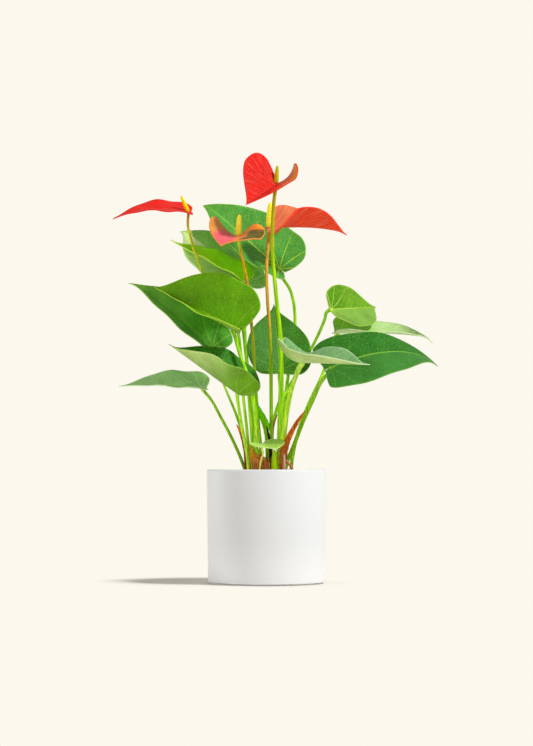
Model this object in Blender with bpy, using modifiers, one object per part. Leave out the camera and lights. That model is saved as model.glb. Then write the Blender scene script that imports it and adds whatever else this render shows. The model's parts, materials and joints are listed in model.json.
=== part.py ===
"""Potted anthurium: thirteen heart-shaped leaves and four red blooms in a plain white pot.

Metres and degrees, +Z up. The origin is the middle of the pot's underside, and the
side that is meant to be seen faces -Y.
"""

import math

import bmesh
import bpy
import numpy as np
from mathutils import Matrix, Vector

# Pot: a straight glazed cylinder with a little draft
POT_HEIGHT = 0.1205
POT_RIM_RADIUS = 0.0635
POT_BASE_RADIUS = 0.0620
POT_WALL = 0.0045
POT_FLOOR = 0.0060
POT_RIM_ROUND = 0.0020
POT_BASE_ROUND = 0.0012
POT_STEPS = 48

# Soil, and the holes that the stalks stand in
SOIL_TOP = 0.1085
SOIL_DOME = 0.0025
HOLE_BOTTOM = 0.0880
HOLE_TOP = 0.1200
HOLE_SIDES = 10
GAP = 0.0003

# Blades: thickness, and how finely the fan of faces is divided
LEAF_THICKNESS = 0.0009
SPATHE_THICKNESS = 0.0012
RINGS = (0.0, 0.34, 0.68, 1.0)
TIP_STEPS = 5
SHOULDER_STEPS = 4
LOBE_STEPS = 2
NOTCH_DEPTH = 0.06

# Stalks: steps between two points of a route, and how the knuckle sits under a leaf's joint
STALK_STEPS = 3
STRAIGHT_ABOVE_SOIL = 0.004
KNUCKLE_BEHIND = 0.003
KNUCKLE_BELOW = 0.004

# Spadix: rows of florets round it and along it, how far they stand out, how much it thins
# upwards, how thick its foot is against its full girth, and over what share it fills out
FLORETS_AROUND = 12
FLORET_ROWS = 15
FLORET_RELIEF = 0.07
SPADIX_TAPER = 0.32
SPADIX_FOOT = 0.52
SPADIX_FILLED_AT = 0.16

# A flower stalk ends this far from the middle of the spathe's sheet, and its spadix
# starts as many times that far above it
END_GAP = SPATHE_THICKNESS / 2 + 2 * GAP
SPADIX_LIFT = 1.6

# Bracts: a strap this thick, whose edges stand forward by a share of its width
BRACT_THICKNESS = 0.0008
BRACT_CHANNEL = 0.22

# Stumps and buds, with how far their ridges turn from foot to top, in radians
STUMP_SIDES = 12
STUMP_ROWS = 8
RIDGE_TWIST = 5

# Points nearer than this are one point
MERGE = 0.00001

# How far each Bezier curve of the rim is pulled out along its end, as a share of its run
TIP_PULL = 0.30
SHOULDER_PULL = 0.55
LOBE_PULL = 0.45

# The two sides of a blade, as places in a (left, right) pair
LEFT, RIGHT = 0, 1

# Steps along each part of a midrib, and the share of the length that bends with the lobes
MIDRIB_SAMPLES = 200
LOBE_REACH = 0.35

# What a blade is unless it says otherwise. Length runs from the stalk's joint to the
# tip, and back is how far the lobes reach behind the joint. Folds and curls are (left,
# right) in degrees. outline(), midrib() and bent() say what the rest mean.
BLADE = dict(
    widest=0.22, lobe_at=0.55, taper=0.10, full=0.62, notch=0.03,
    fold=(10, 10), lobe_fold=(0, 0), curl=(0, 0), lobe_curl=(0, 0),
    rear=0, arch0=0, arch=0, hook=0, wave=0.0012, waves=2.5, phase=0.0, colour="leaf",
)

# Leaves, each with its petiole's route: the foot in the soil as X and Y, then points
# above it, up to the knuckle below the blade
LEAVES = {
    "leaf_01": dict(
        at=(0.0145, 0.045, 0.3380), length=0.110, width=0.090, back=0.012, widest=(0.14, 0.10),
        taper=0.55, full=(0.85, 0.55), heading=180, pitch=42, roll=50, fold=(24, 22),
        lobe_fold=(8, 0), arch=4, hook=30,
        radius=(0.0022, 0.0016),
        petiole=[(0.014, 0.013), (0.016, 0.016, 0.150), (0.019, 0.026, 0.179), (0.022, 0.037, 0.211),
                 (0.026, 0.044, 0.239), (0.030, 0.050, 0.266), (0.031, 0.051, 0.289),
                 (0.026, 0.050, 0.315)],
    ),
    "leaf_02": dict(
        at=(-0.0211, 0.038, 0.3213), length=0.094, width=0.078, back=0.016, full=(0.95, 0.80),
        taper=0.45, heading=180, pitch=43, roll=40, fold=(-4, 2), arch=12, hook=30,
        radius=(0.0019, 0.0014),
        petiole=[(-0.010, 0.010), (-0.017, 0.013, 0.195), (-0.021, 0.019, 0.239),
                 (-0.023, 0.026, 0.270), (-0.022, 0.033, 0.298)],
    ),
    "leaf_03": dict(
        at=(-0.0300, 0.014, 0.3247), length=0.084, width=0.060, back=0.012, widest=0.16,
        heading=180, pitch=30, roll=22, fold=(22, 18), lobe_fold=(0, 8), colour="young_leaf",
        radius=(0.0019, 0.0014),
        petiole=[(-0.014, 0.002), (-0.019, 0.005, 0.200), (-0.022, 0.008, 0.241),
                 (-0.025, 0.010, 0.269), (-0.028, 0.011, 0.299)],
    ),
    "leaf_04": dict(
        at=(-0.0359, -0.015, 0.2681), length=0.100, width=0.100, back=0.014, widest=0.14, taper=0.22,
        lobe_at=0.65, heading=168, pitch=32, roll=44, fold=(44, 46), lobe_fold=(8, 0), arch=14,
        radius=(0.0023, 0.0018),
        petiole=[(-0.011, -0.012), (-0.011, -0.017, 0.160), (-0.012, -0.023, 0.185),
                 (-0.015, -0.025, 0.202), (-0.022, -0.021, 0.225), (-0.029, -0.015, 0.245)],
    ),
    "leaf_05": dict(
        at=(-0.0573, 0.017, 0.2518), length=0.116, width=0.070, back=0.012, widest=0.25,
        heading=178, pitch=41, roll=32, fold=(20, 26), arch=8, hook=30,
        radius=(0.0017, 0.0012),
        petiole=[(-0.020, -0.001), (-0.0235, 0.001, 0.152), (-0.032, 0.004, 0.178),
                 (-0.047, 0.012, 0.215)],
    ),
    "leaf_06": dict(
        at=(-0.0306, -0.026, 0.1999), length=0.089, width=0.078, back=0.016, notch=0.16,
        heading=182, pitch=36, roll=10, fold=(40, 54), lobe_fold=(14, 0),
        radius=(0.0021, 0.0016),
        petiole=[(-0.0185, -0.0155), (-0.021, -0.0175, 0.140), (-0.026, -0.020, 0.165),
                 (-0.029, -0.024, 0.184)],
    ),
    "leaf_07": dict(
        at=(-0.0684, -0.010, 0.2068), length=0.088, width=0.058, back=0.007, widest=0.16,
        heading=180, pitch=5, roll=21, fold=(18, 18), arch=12,
        radius=(0.0019, 0.0014),
        petiole=[(-0.0205, -0.0075), (-0.0245, -0.0075, 0.125), (-0.036, -0.008, 0.152),
                 (-0.048, -0.009, 0.175), (-0.060, -0.010, 0.196)],
    ),
    "leaf_08": dict(
        at=(0.0145, 0.020, 0.2265), length=0.084, width=0.072, back=0.006,
        heading=100, pitch=63, roll=-3, fold=(10, 10),
        radius=(0.0021, 0.0017),
        petiole=[(0.012, 0.001), (0.013, 0.005, 0.155), (0.014, 0.015, 0.190), (0.0145, 0.022, 0.210)],
    ),
    "leaf_09": dict(
        at=(0.0379, -0.030, 0.2329), length=0.084, width=0.060, back=0.043, widest=0.12, lobe_at=0.40,
        heading=-35, pitch=-3, roll=-8, fold=(34, 25), lobe_fold=(-13, 10), rear=76, wave=0.0004,
        radius=(0.0030, 0.0024),
        petiole=[(0.016, -0.020), (0.018, -0.022, 0.150), (0.022, -0.025, 0.185), (0.028, -0.028, 0.211)],
    ),
    "leaf_10": dict(
        at=(0.0684, -0.010, 0.2282), length=0.136, width=0.080, back=0.010, widest=(0.04, 0.22),
        full=(0.60, 0.50), lobe_at=(0.8, 0.6), heading=0, pitch=24, roll=-48, fold=(2, 4),
        arch0=40, arch=34,
        radius=(0.0024, 0.0018),
        petiole=[(0.0190, -0.004), (0.0214, -0.004, 0.127), (0.0275, -0.004, 0.142),
                 (0.0395, -0.005, 0.173), (0.0492, -0.006, 0.194), (0.058, -0.007, 0.213)],
    ),
    "leaf_11": dict(
        at=(0.0701, 0.030, 0.2930), length=0.081, width=0.054, back=0.004, widest=(0.22, 0.36),
        full=(0.45, 0.90), heading=50, pitch=5, roll=-62, fold=(24, 14), lobe_fold=(-4, 0),
        lobe_curl=(0, 30), wave=0.0004, colour="young_leaf",
        radius=(0.0020, 0.0016),
        petiole=[(0.003, 0.011), (0.006, 0.014, 0.163), (0.013, 0.021, 0.191), (0.025, 0.031, 0.211),
                 (0.046, 0.039, 0.247), (0.055, 0.039, 0.264), (0.063, 0.036, 0.283)],
    ),
    "leaf_12": dict(
        at=(0.0780, 0.058, 0.2691), length=0.108, width=0.064, back=0.004, lobe_at=0.5,
        widest=(0.28, 0.22), full=(0.75, 0.62), heading=6, pitch=2, roll=-18, fold=(13, 18),
        lobe_fold=(24, 6), arch0=4, arch=8, hook=50, waves=1.5,
        radius=(0.0020, 0.0016),
        petiole=[(0.026, 0.010), (0.033, 0.018, 0.157), (0.045, 0.031, 0.190), (0.060, 0.046, 0.222),
                 (0.071, 0.056, 0.252)],
    ),
    "leaf_13": dict(
        at=(-0.0026, -0.0355, 0.1470), length=0.0225, width=0.041, back=0.007, widest=0.34,
        heading=-50, pitch=-14, roll=-2, fold=(15, 3), wave=0.0, colour="young_leaf",
        radius=(0.0011, 0.0008),
        petiole=[(-0.0070, -0.0365), (-0.0060, -0.0365, 0.128), (-0.0035, -0.0365, 0.138)],
    ),
}

# Blooms, each with its flower stalk's route, and its spadix as direction, length and radius
BLOOMS = {
    "1": dict(
        at=(0.0101, -0.015, 0.4234), length=0.066, width=0.083, back=0.008, lobe_at=0.64, widest=0.18,
        heading=238, pitch=-25, roll=25, fold=(35, 44), lobe_fold=(0, 2), curl=(12, 0),
        lobe_curl=(42, 0), wave=0.0004,
        radius=(0.0024, 0.0019),
        stalk=[(0.013, -0.011), (0.015, -0.012, 0.168), (0.016, -0.012, 0.209), (0.015, -0.013, 0.258),
               (0.010, -0.014, 0.307), (0.006, -0.015, 0.362), (0.008, -0.015, 0.405)],
        spadix=dict(towards=(0.08, -0.10, 1.0), length=0.019, radius=0.0026),
    ),
    "2": dict(
        at=(0.0032, 0.008, 0.3789), length=0.086, width=0.058, back=0.003, widest=(0.22, 0.50),
        full=(0.20, 0.45), lobe_at=0.2, heading=10, pitch=5, roll=-6, fold=(60, 50),
        lobe_fold=(0, -86), arch0=6, arch=14, hook=20, wave=0.0004,
        radius=(0.0021, 0.0016),
        stalk=[(0.005, -0.003), (0.005, -0.002, 0.161), (0.005, 0.000, 0.196), (0.004, -0.001, 0.258),
               (0.001, -0.003, 0.304), (0.000, -0.003, 0.330), (0.001, 0.002, 0.353)],
        spadix=dict(towards=(0.03, -0.12, 1.0), length=0.027, radius=0.0041),
    ),
    "3": dict(
        at=(-0.0301, -0.025, 0.3653), length=0.054, width=0.066, back=0.012, lobe_at=0.7,
        widest=(0.12, 0.22), heading=250, pitch=-2, roll=0, fold=(0, 14), lobe_fold=(40, 0),
        curl=(-10, 70), lobe_curl=(-45, -10), arch0=14, arch=20, wave=0.0004, colour="pale_spathe",
        radius=(0.0020, 0.0015),
        stalk=[(-0.004, -0.009), (-0.009, -0.004, 0.173), (-0.012, 0.000, 0.215),
               (-0.014, 0.000, 0.254), (-0.017, -0.003, 0.285), (-0.021, -0.012, 0.321),
               (-0.027, -0.022, 0.350)],
        spadix=dict(towards=(0.06, -0.08, 1.0), length=0.024, radius=0.0037),
    ),
    "4": dict(
        at=(-0.0830, -0.010, 0.3936), length=0.082, width=0.050, back=0.004,
        heading=188, pitch=12, roll=18, fold=(8, 12), arch0=28, arch=12,
        radius=(0.0018, 0.0013),
        stalk=[(-0.017, 0.006), (-0.021, 0.006, 0.163), (-0.025, 0.006, 0.200),
               (-0.027, 0.004, 0.241), (-0.031, 0.003, 0.269), (-0.045, 0.001, 0.298),
               (-0.067, -0.002, 0.328), (-0.075, -0.009, 0.348), (-0.080, -0.011, 0.364),
               (-0.0835, -0.011, 0.379)],
        spadix=dict(towards=(-0.45, -0.10, 1.0), length=0.019, radius=0.0023),
    ),
}

# Thin growths round the crown: a route from the soil to the tip, and widths along it
BRACTS = {
    "bract_long": dict(
        route=[(0.0172, -0.0265), (0.0172, -0.0265, 0.130), (0.0186, -0.0265, 0.142),
               (0.0225, -0.0265, 0.152), (0.0340, -0.026, 0.173), (0.0405, -0.025, 0.182)],
        widths=(0.005, 0.0075, 0.0085, 0.0062, 0.0040, 0.0008), colour="papery",
    ),
    "bract_left": dict(
        route=[(-0.0215, -0.0125), (-0.0225, -0.0125, 0.142), (-0.026, -0.013, 0.157),
               (-0.0315, -0.014, 0.168)],
        widths=(0.003, 0.0042, 0.0042, 0.0008), colour="papery",
    ),
    "bract_maroon": dict(
        route=[(0.0045, -0.0160), (0.0042, -0.0165, 0.140), (0.0025, -0.0170, 0.155),
               (0.000, -0.018, 0.166)],
        widths=(0.003, 0.003, 0.0025, 0.0008), colour="maroon",
    ),
    "bract_brown": dict(
        route=[(0.0060, 0.0040), (0.0060, 0.0040, 0.150), (0.0075, 0.0035, 0.168),
               (0.0112, 0.0030, 0.179)],
        widths=(0.0025, 0.0025, 0.0022, 0.0008), colour="papery",
    ),
    "sheath_wing": dict(
        route=[(0.0015, -0.0095), (0.000, -0.0095, 0.158), (-0.0008, -0.0098, 0.168),
               (-0.0048, -0.0098, 0.177), (-0.0100, -0.0095, 0.190)],
        widths=(0.003, 0.004, 0.0075, 0.0075, 0.0012), colour="petiole",
    ),
}

# Stumps and buds at the crown: foot, how high the top is above the pot's underside, radii
# across and deep, how blunt the ends are, how much it narrows upwards, and its ridges
STUMPS = {
    "crown": dict(
        foot=(-0.0060, -0.0292), top=0.1345, radii=(0.0095, 0.0036), blunt=6, taper=0.15,
        ridges=7, relief=0.08, colour="crown",
    ),
    "sheath_base": dict(
        foot=(-0.0107, -0.0215), top=0.1440, radii=(0.0056, 0.0028), blunt=6, taper=0.15,
        ridges=3, relief=0.03, colour="petiole",
    ),
    "bud": dict(
        foot=(0.0085, -0.0245), top=0.1415, radii=(0.0048, 0.0036), blunt=2, taper=0.20,
        ridges=3, relief=0.03, colour="bud",
    ),
    "stub_pale": dict(
        foot=(0.0188, -0.0345), top=0.1370, radii=(0.0015, 0.0015), blunt=6, taper=0.10,
        ridges=2, relief=0.05, colour="pale_wood",
    ),
}

# A cut stalk that leans over to one side
CUT_STUB_ROUTE = [
    (0.0290, -0.0310), (0.0265, -0.0310, 0.1220), (0.0235, -0.0310, 0.1265), (0.0210, -0.0308, 0.1300),
]
CUT_STUB_RADIUS = (0.0014, 0.0013)

# Base colour and roughness
COLOURS = {
    "ceramic": ((0.86, 0.85, 0.81), 0.30),
    "soil": ((0.055, 0.035, 0.022), 0.95),
    "leaf": ((0.05, 0.22, 0.04), 0.38),
    "young_leaf": ((0.14, 0.40, 0.03), 0.40),
    "petiole": ((0.22, 0.42, 0.05), 0.45),
    "flower_stalk": ((0.34, 0.34, 0.06), 0.45),
    "spathe": ((0.78, 0.05, 0.03), 0.25),
    "pale_spathe": ((0.72, 0.16, 0.06), 0.30),
    "spadix": ((0.85, 0.62, 0.08), 0.55),
    "crown": ((0.16, 0.09, 0.04), 0.85),
    "papery": ((0.55, 0.27, 0.09), 0.70),
    "maroon": ((0.25, 0.04, 0.05), 0.60),
    "pale_wood": ((0.62, 0.44, 0.32), 0.70),
    "bud": ((0.32, 0.55, 0.06), 0.40),
}


def clear_scene():
    for old in list(bpy.data.objects):
        bpy.data.objects.remove(old, do_unlink=True)


def new_collection(name):
    group = bpy.data.collections.new(name)
    bpy.context.scene.collection.children.link(group)
    return group


def material(name):
    """The Principled BSDF of this colour, made once and shared."""
    if name in bpy.data.materials:
        return bpy.data.materials[name]
    colour, roughness = COLOURS[name]
    made = bpy.data.materials.new(name)
    made.use_nodes = True
    shader = made.node_tree.nodes["Principled BSDF"]
    shader.inputs["Base Color"].default_value = (*colour, 1.0)
    shader.inputs["Roughness"].default_value = roughness
    shader.inputs["Metallic"].default_value = 0.0
    made.diffuse_color = (*colour, 1.0)
    return made


def add_object(name, mesh, group, colour):
    mesh.materials.append(material(colour))
    made = bpy.data.objects.new(name, mesh)
    group.objects.link(made)
    return made


def mesh_from(name, shape):
    """A mesh from a bmesh, which is then done with."""
    mesh = bpy.data.meshes.new(name)
    shape.to_mesh(mesh)
    shape.free()
    return mesh


def hide(helper):
    """A helper only cuts or joins another piece, so it isn't part of the plant."""
    helper.hide_render = True
    helper.display_type = "WIRE"
    return helper


def add_boolean(target, operation, helper, solver="EXACT"):
    """Cut or join one helper object, or all those of a collection."""
    modifier = target.modifiers.new(operation.title(), "BOOLEAN")
    modifier.operation = operation
    modifier.solver = solver
    if isinstance(helper, bpy.types.Collection):
        modifier.operand_type = "COLLECTION"
        modifier.collection = helper
    else:
        modifier.object = helper


def thicken(made, thickness):
    """Turn an open sheet into a solid. Its faces are split first, so that both sides bend alike."""
    made.modifiers.new("Triangles", "TRIANGULATE")
    thick = made.modifiers.new("Thickness", "SOLIDIFY")
    thick.thickness = thickness
    thick.offset = 0.0


def turned(name, profile, group, colour):
    """A solid of revolution about Z. The profile is (radius, height) points."""
    mesh = bpy.data.meshes.new(name)
    edges = [(i, i + 1) for i in range(len(profile) - 1)]
    mesh.from_pydata([(radius, 0.0, height) for radius, height in profile], edges, [])
    made = add_object(name, mesh, group, colour)
    screw = made.modifiers.new("Turn", "SCREW")
    screw.axis = "Z"
    screw.steps = POT_STEPS
    screw.render_steps = POT_STEPS
    screw.use_merge_vertices = True
    screw.merge_threshold = MERGE
    screw.use_smooth_shade = True
    return made


def arc(centre, radius, first, last, steps):
    """Points of an arc in the profile's plane, from one angle to another."""
    angles = np.radians(np.linspace(first, last, steps + 1))
    return [(centre[0] + radius * math.cos(a), centre[1] + radius * math.sin(a)) for a in angles]


def bezier(start, leave, arrive, end, steps):
    """Points of a cubic Bezier curve, ends included."""
    t = np.linspace(0.0, 1.0, steps + 1)[:, None]
    points = [np.array(p, float) for p in (start, leave, arrive, end)]
    weights = ((1 - t) ** 3, 3 * t * (1 - t) ** 2, 3 * t * t * (1 - t), t**3)
    return sum(weight * point for weight, point in zip(weights, points))


def of_side(value, side):
    """A value of one side of the blade, where it may be one number for both sides or (left, right)."""
    return value[side] if isinstance(value, tuple) else value


def outline(form):
    """Rim of the flat blade, from the notch's left side round the tip to its right side.

    +X runs from the stalk's joint to the tip, and +Y to the left. "widest" is where the
    blade is widest as a share of its length, "full" and "taper" shape the run from there
    to the tip, "lobe_at" is how far out the lobes end, and "notch" how wide the slot
    between them is, both as shares of the half width.
    """
    length, back, half = form["length"], form["back"], form["width"] / 2
    halves = []
    for side in (LEFT, RIGHT):
        widest = of_side(form["widest"], side) * length
        lobe = of_side(form["lobe_at"], side) * half
        notch = (-NOTCH_DEPTH * length, form["notch"] * half)
        run = length - widest
        tip_part = bezier(
            (length, 0.0), (length - TIP_PULL * run, form["taper"] * half),
            (widest + of_side(form["full"], side) * run, half), (widest, half), TIP_STEPS,
        )
        shoulder_part = bezier(
            (widest, half), (widest - SHOULDER_PULL * (widest + back), half),
            (-back, 0.5 * (lobe + half)), (-back, lobe), SHOULDER_STEPS,
        )
        lobe_part = bezier(
            (-back, lobe), (-back, LOBE_PULL * lobe), (-0.5 * back, notch[1]), notch, LOBE_STEPS,
        )
        halves.append(np.concatenate([tip_part, shoulder_part[1:], lobe_part[1:]]))
    return np.concatenate([halves[LEFT][::-1], halves[RIGHT][1:] * (1.0, -1.0)])


def midrib(form, along):
    """Where the midrib is at each distance from the joint, with its forward and up directions.

    Forward of the joint it bends down by arch0 and arch degrees, and by hook in the last
    fifth. Behind it, the fold between the lobes bends up by rear degrees.
    """
    length, back = form["length"], form["back"]
    ahead = np.linspace(0.0, length, MIDRIB_SAMPLES)
    behind = np.linspace(-max(back, NOTCH_DEPTH * length), 0.0, MIDRIB_SAMPLES)[:-1]
    distance = np.concatenate([behind, ahead])
    x = ahead / length
    droop = form["arch0"] * x + form["arch"] * x * x + form["hook"] * np.clip(5 * x - 4, 0, 1) ** 2
    slope = np.radians(np.concatenate([form["rear"] * -behind / back, droop]))
    forward = np.stack([np.cos(slope), 0 * slope, -np.sin(slope)], axis=-1)
    steps = np.diff(distance, prepend=distance[0])[:, None]
    route = np.cumsum(forward * steps, axis=0)
    route -= [np.interp(0.0, distance, route[:, k]) for k in range(3)]
    place = np.stack([np.interp(along, distance, route[:, k]) for k in range(3)], axis=-1)
    ahead_way = np.stack([np.interp(along, distance, forward[:, k]) for k in range(3)], axis=-1)
    ahead_way /= np.linalg.norm(ahead_way, axis=-1, keepdims=True)
    up = np.cross(ahead_way, (0.0, 1.0, 0.0))
    return place, ahead_way, up


def bent(form, flat):
    """The flat blade's points bent to shape, in the blade's own frame.

    Each half leaves the midrib at its fold angle and then bends on as an arc, by curl
    degrees at the margin. Near the lobes lobe_fold and lobe_curl are added. The margin
    also waves.
    """
    along, across = flat[:, 0], flat[:, 1]
    length, half = form["length"], form["width"] / 2
    place, forward, up = midrib(form, along)
    left = np.cross(up, forward)
    on_left = across >= 0
    near_lobes = np.clip(1 - along / (LOBE_REACH * length), 0, 1.6) ** 1.5
    fold = np.where(on_left, *form["fold"]) + near_lobes * np.where(on_left, *form["lobe_fold"])
    curl = np.where(on_left, *form["curl"]) + near_lobes * np.where(on_left, *form["lobe_curl"])
    out = np.abs(across) / half
    half_turn = 0.5 * np.radians(curl) * out
    chord = across * np.sinc(half_turn / np.pi)
    angle = np.radians(fold) + half_turn
    ripple = np.sin(2 * np.pi * form["waves"] * along / length + form["phase"] + np.where(on_left, 0, 1.3))
    rise = np.abs(chord) * np.sin(angle) + form["wave"] * out**2 * ripple
    sideways = chord * np.cos(angle)
    return place + left * sideways[:, None] + up * rise[:, None]


def blade_frame(form):
    """Blade frame in the world: X towards the tip, Y to the left and Z out of the top face."""
    turn = Matrix.Rotation(math.radians(form["heading"]), 4, "Z")
    tilt = Matrix.Rotation(math.radians(-form["pitch"]), 4, "Y")
    lean = Matrix.Rotation(math.radians(-form["roll"]), 4, "X")
    return Matrix.Translation(form["at"]) @ turn @ tilt @ lean


def add_blade(name, form, thickness, group):
    """A heart-shaped blade: a grid laid out as a fan about the stalk's joint, then bent and thickened."""
    rim = outline(form)
    sectors = len(rim) - 1
    rings = len(RINGS) - 1
    flat = np.concatenate([rim * ring for ring in RINGS])
    points = bent(form, flat)
    fan = bmesh.new()
    bmesh.ops.create_grid(fan, x_segments=sectors, y_segments=rings, size=1.0)
    for vertex in fan.verts:
        sector = round((vertex.co.x + 1) / 2 * sectors)
        ring = round((vertex.co.y + 1) / 2 * rings)
        vertex.co = points[ring * len(rim) + sector]
    bmesh.ops.remove_doubles(fan, verts=fan.verts, dist=MERGE)
    mesh = mesh_from(name, fan)
    mesh.shade_smooth()
    made = add_object(name, mesh, group, form["colour"])
    made.matrix_world = blade_frame(form)
    thicken(made, thickness)
    return made


def smooth_route(points, steps):
    """One smooth curve that leaves the first point straight up and passes through the rest."""
    points = np.array(points, float)
    spans = np.linalg.norm(np.diff(points, axis=0), axis=1)
    ways = np.diff(points, axis=0) / spans[:, None]
    tangents = [np.array((0.0, 0.0, 1.0))]
    for i in range(len(spans) - 1):
        tangents.append((ways[i] * spans[i + 1] + ways[i + 1] * spans[i]) / (spans[i] + spans[i + 1]))
    tangents.append(ways[-1])
    t = np.linspace(0.0, 1.0, steps + 1)[1:, None]
    route = [points[:1]]
    for i, span in enumerate(spans):
        route.append(
            (2 * t**3 - 3 * t**2 + 1) * points[i]
            + (t**3 - 2 * t**2 + t) * span * tangents[i]
            + (3 * t**2 - 2 * t**3) * points[i + 1]
            + (t**3 - t**2) * span * tangents[i + 1]
        )
    return np.concatenate(route)


def stalk_route(hand_points):
    """The whole stalk: straight up through its hole in the soil, then along its own points."""
    foot_x, foot_y = hand_points[0]
    in_hole = [(foot_x, foot_y, HOLE_BOTTOM + GAP)]
    above = [(foot_x, foot_y, SOIL_TOP + STRAIGHT_ABOVE_SOIL), *hand_points[1:]]
    return np.concatenate([in_hole, smooth_route(above, STALK_STEPS)])


def add_tube(name, route, radius, group, colour):
    """A round stalk along a route, thinning from its foot to its top, as a closed mesh."""
    curve = bpy.data.curves.new(name, "CURVE")
    curve.dimensions = "3D"
    curve.bevel_depth = radius[0]
    curve.bevel_resolution = 2
    curve.use_fill_caps = True
    spline = curve.splines.new("POLY")
    spline.points.add(len(route) - 1)
    for i, (point, place) in enumerate(zip(spline.points, route)):
        share = i / (len(route) - 1)
        point.co = (*place, 1.0)
        point.radius = 1.0 + share * (radius[1] / radius[0] - 1.0)
    guide = bpy.data.objects.new(name + "_guide", curve)
    group.objects.link(guide)
    bpy.context.view_layer.update()
    evaluated = guide.evaluated_get(bpy.context.evaluated_depsgraph_get())
    swept = bpy.data.meshes.new_from_object(evaluated)
    bpy.data.objects.remove(guide, do_unlink=True)
    welded = bmesh.new()
    welded.from_mesh(swept)
    bmesh.ops.remove_doubles(welded, verts=welded.verts, dist=MERGE)
    bmesh.ops.recalc_face_normals(welded, faces=welded.faces)
    mesh = mesh_from(name, welded)
    bpy.data.meshes.remove(swept)
    mesh.shade_smooth()
    return add_object(name, mesh, group, colour)


def add_hole(name, foot, radii, group):
    """A cutter for a plain round or oval hole in the soil."""
    cylinder = bmesh.new()
    bmesh.ops.create_cone(
        cylinder, cap_ends=True, segments=HOLE_SIDES, radius1=1.0, radius2=1.0, depth=HOLE_TOP - HOLE_BOTTOM,
        matrix=Matrix.Diagonal((*radii, 1.0, 1.0)),
    )
    hole = add_object(name, mesh_from(name, cylinder), group, "soil")
    hole.location = (foot[0], foot[1], 0.5 * (HOLE_TOP + HOLE_BOTTOM))
    hide(hole)


def add_leaf(name, own, group, helpers, holes):
    """One leaf grown as one piece: the blade, fused with its petiole."""
    form = {**BLADE, **own}
    blade = add_blade(name, form, LEAF_THICKNESS, group)
    frame = blade_frame(form)
    knuckle = frame @ Vector((-KNUCKLE_BEHIND, 0.0, -KNUCKLE_BELOW))
    joint = frame @ Vector((0.5 * LEAF_THICKNESS, 0.0, 0.1 * LEAF_THICKNESS))
    route = stalk_route([*form["petiole"], tuple(knuckle), tuple(joint)])
    petiole = hide(add_tube(name + "_petiole", route, form["radius"], helpers, "petiole"))
    # The exact solver loses whole blades here, where a stalk's end lies inside a thin sheet
    add_boolean(blade, "UNION", petiole, "MANIFOLD")
    hole_radius = form["radius"][0] + 1.5 * GAP
    add_hole(name + "_hole", form["petiole"][0], (hole_radius, hole_radius), holes)


def add_spadix(name, form, foot, group):
    """A blunt spike whose surface is set with rows of small florets."""
    spadix = form["spadix"]
    spike = bmesh.new()
    bmesh.ops.create_uvsphere(spike, u_segments=FLORETS_AROUND, v_segments=FLORET_ROWS, radius=1.0)
    for vertex in spike.verts:
        row = round(math.acos(max(-1.0, min(1.0, -vertex.co.z))) / math.pi * FLORET_ROWS)
        column = round(math.atan2(vertex.co.y, vertex.co.x) / (2 * math.pi) * FLORETS_AROUND)
        share = row / FLORET_ROWS
        filled = min(1.0, share / SPADIX_FILLED_AT)
        foot_taper = 0.0 if row == 0 else SPADIX_FOOT + (1 - SPADIX_FOOT) * math.sin(0.5 * math.pi * filled)
        width = spadix["radius"] * foot_taper * (1 - SPADIX_TAPER * share) * math.sqrt(1 - share**7)
        stands_out = FLORET_RELIEF if (row + column) % 2 else -FLORET_RELIEF
        angle = 2 * math.pi * column / FLORETS_AROUND
        reach = width * (1.0 + stands_out)
        vertex.co = (reach * math.cos(angle), reach * math.sin(angle), spadix["length"] * share)
    made = add_object(name, mesh_from(name, spike), group, "spadix")
    made.location = foot
    made.rotation_mode = "QUATERNION"
    made.rotation_quaternion = Vector(spadix["towards"]).to_track_quat("Z", "Y")
    return made


def add_bloom(number, own, group, helpers, holes):
    """One bloom: flower stalk, spathe and spadix, which meet with a small gap."""
    form = {**BLADE, "colour": "spathe", **own}
    add_blade("spathe_" + number, form, SPATHE_THICKNESS, group)
    around_spathe = {**form, "notch": 0.1 * form["notch"]}
    clearance = hide(
        add_blade("spathe_clearance_" + number, around_spathe, SPATHE_THICKNESS + 4 * GAP, helpers)
    )
    joint = Vector(form["at"])
    arrive = (joint - Vector(form["stalk"][-1])).normalized()
    route = stalk_route([*form["stalk"], tuple(joint - END_GAP * arrive)])
    stalk = add_tube("flower_stalk_" + number, route, form["radius"], group, "flower_stalk")
    # The exact solver loses a whole stalk here, whose end only grazes the sheet it is cut by
    add_boolean(stalk, "DIFFERENCE", clearance, "MANIFOLD")
    hole_radius = form["radius"][0] + 1.5 * GAP
    add_hole("flower_stalk_hole_" + number, form["stalk"][0], (hole_radius, hole_radius), holes)
    axis = Vector(form["spadix"]["towards"]).normalized()
    spike = add_spadix("spadix_" + number, form, joint + SPADIX_LIFT * END_GAP * axis, group)
    add_boolean(spike, "DIFFERENCE", clearance)


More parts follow.
